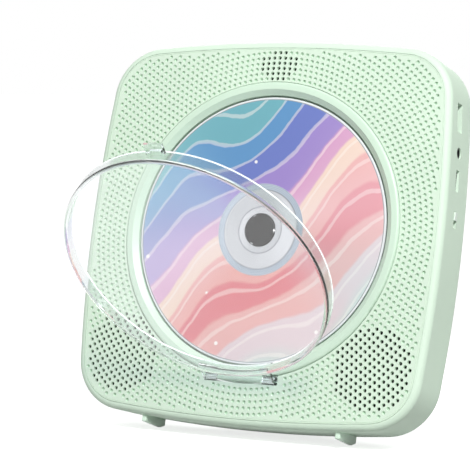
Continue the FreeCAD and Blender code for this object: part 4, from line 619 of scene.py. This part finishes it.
def disc():
    """The disc as a ring of revolution, its section from the bore out along the front, with a clamp groove
    and a stacking ridge, round the softened rim and back along the playing side."""
    front, back, soft = DISC_FRONT, DISC_BACK, DISC_ROUND
    low, high = front + CLAMP_GROOVE_DEEP, front - STACK_RIDGE_TALL
    rim_flat, rim_bend, rim_fall, mirror_start = DISC_RADIUS - 0.7, DISC_RADIUS - 0.12, 0.03, 20.0
    face = [(DISC_BORE, front + soft), (DISC_BORE + soft, front),
            *zip(CLAMP_GROOVE, (front, low, low, front)), *zip(STACK_RIDGE, (front, high, high, front)),
            (PRINT_START, front), (DISC_MIDDLE, front), (rim_flat, front), (rim_bend, front + rim_fall),
            (DISC_RADIUS, front + DISC_RIM_ROUND)]
    profile = face + [(DISC_RADIUS, back - DISC_RIM_ROUND), (DISC_RADIUS - soft, back), (DISC_MIDDLE, back),
                      (mirror_start, back), (DISC_BORE + soft, back), (DISC_BORE, back - soft)]
    points, faces = revolve(profile, DISC_STEPS)
    mesh = mesh_of("disc_print", to_frame(points), faces)
    corner = np.zeros(len(mesh.loops), np.int32)
    mesh.loops.foreach_get("vertex_index", corner)
    place = points[corner][:, (0, 2)] / (2.0 * DISC_RADIUS) + 0.5
    mesh.uv_layers.new(name="face").data.foreach_set("uv", place.astype(np.float32).ravel())
    finishes = [FINISH["printed_disc"], PLAYING]
    piece("disc_print", mesh, "rotor", finishes, ["disc"], 25.0)
    segment = np.tile(np.arange(len(profile)), DISC_STEPS)
    mesh.polygons.foreach_set("material_index", (segment >= len(face)).astype(np.int32))


front_plate()
disc()
for name, node, soften in (
        ("shell_moulding", "front_shell", 0.0), ("back_moulding", "rear_cover", 0.0),
        ("tray_moulding", "disc_tray", 0.0), ("nose_turned", "turntable", 0.0),
        ("foot_left_fin", "foot_left", 0.5), ("foot_right_fin", "foot_right", 0.5),
        ("stand_moulding", "stand_leg", 0.4), ("stand_rubber", "stand_pad", 0.3),
        ("wide_socket", "usb_socket", 0.0), ("round_jack", "audio_jack", 0.0),
        ("charge_slot", "charge_socket", 0.0), ("slide_body", "switch_body", 0.0),
        ("slide_knob", "switch_knob", 0.2), *(("cap_%d" % key, "key_%d" % key, 0.25) for key in range(1, 6)),
        ("back_screws", "cover_screws", 0.0)):
    dress(name, node, soften)
even_cover(dress("cover_clear", "dust_cover", even=False))

# Stage: a pale floor that turns white away from the object, and white all round, for what looks at it
# directly, in a reflection or through the clear cover; other rays meet a plain floor and a dim world.
corners = np.array(((-1, -1, 0), (1, -1, 0), (1, 1, 0), (-1, 1, 0)), float) * FLOOR_HALF
ground = mesh_of("floor", corners, np.array(((0, 1, 2, 3),)))
floor_white, here, shader = start("floor_white", Roughness=0.9, Emission_Strength=1.0)
away = here.node("VectorMath", {0: here}, out=1, operation="LENGTH").step(WHITE_START, WHITE_END)
feed(shader, Base_Color=away.tint((0.80, 0.80, 0.80, 1.0), (0.0, 0.0, 0.0, 1.0)),
     Emission_Color=away.tint((0.72, 0.72, 0.72, 1.0), (1.0, 1.0, 1.0, 1.0)))
bounce = here.node("BsdfDiffuse", {"Color": (BOUNCE, BOUNCE, BOUNCE, 1.0)})
surface_by_ray(LOOKING, bounce, Field(here.tree, shader.outputs[0]))
ground.materials.append(floor_white)
floor = bpy.data.objects.new("floor", ground)
bpy.context.scene.collection.objects.link(floor)

world = bpy.data.worlds.new("studio")
bpy.context.scene.world = world
world.use_nodes = True
sky = world.node_tree
back = next(node for node in sky.nodes if node.type == "BACKGROUND")
bright = rays(sky, LOOKING)
back.inputs["Color"].default_value = (1.0, 1.0, 1.0, 1.0)
sky.links.new((bright * (1.0 - AMBIENT) + AMBIENT).socket, back.inputs["Strength"])


def lamp(name, place, size, power):
    """A square soft light that faces the object's middle."""
    light = bpy.data.lights.new(name, "AREA")
    light.size, light.energy = size, power
    made = bpy.data.objects.new(name, light)
    made.location = place
    made.rotation_euler = (Vector(LIGHT_AIM) - Vector(place)).to_track_quat("-Z", "Y").to_euler()
    bpy.context.scene.collection.objects.link(made)


lamp("key_light", place=(0.75, -0.95, 1.25), size=0.40, power=27.5)
lamp("fill_light", place=(-1.30, -1.00, 0.60), size=1.0, power=1.5)
lamp("back_light", place=(-0.70, 1.40, 0.90), size=1.2, power=10.0)

right = Vector((math.cos(CAMERA_TURN), math.sin(CAMERA_TURN), 0.0))
level = math.cos(CAMERA_RISE)
back_way = Vector((math.sin(CAMERA_TURN) * level, -math.cos(CAMERA_TURN) * level, math.sin(CAMERA_RISE)))
up = right.cross(-back_way)
aim = (Vector(DISC_CENTRE) - right * AIM_LEFT - up * AIM_LOW) * MM
lens = bpy.data.cameras.new("camera")
lens.lens, lens.sensor_width = CAMERA_LENS, CAMERA_SENSOR
lens.clip_start, lens.clip_end = 0.01, 50.0
camera = bpy.data.objects.new("camera", lens)
axes = Matrix((right, up, back_way)).transposed().to_4x4()
camera.matrix_world = Matrix.Translation(aim + back_way * CAMERA_FAR) @ axes
bpy.context.scene.collection.objects.link(camera)
bpy.context.scene.camera = camera
bpy.context.scene.view_settings.view_transform = "Standard"
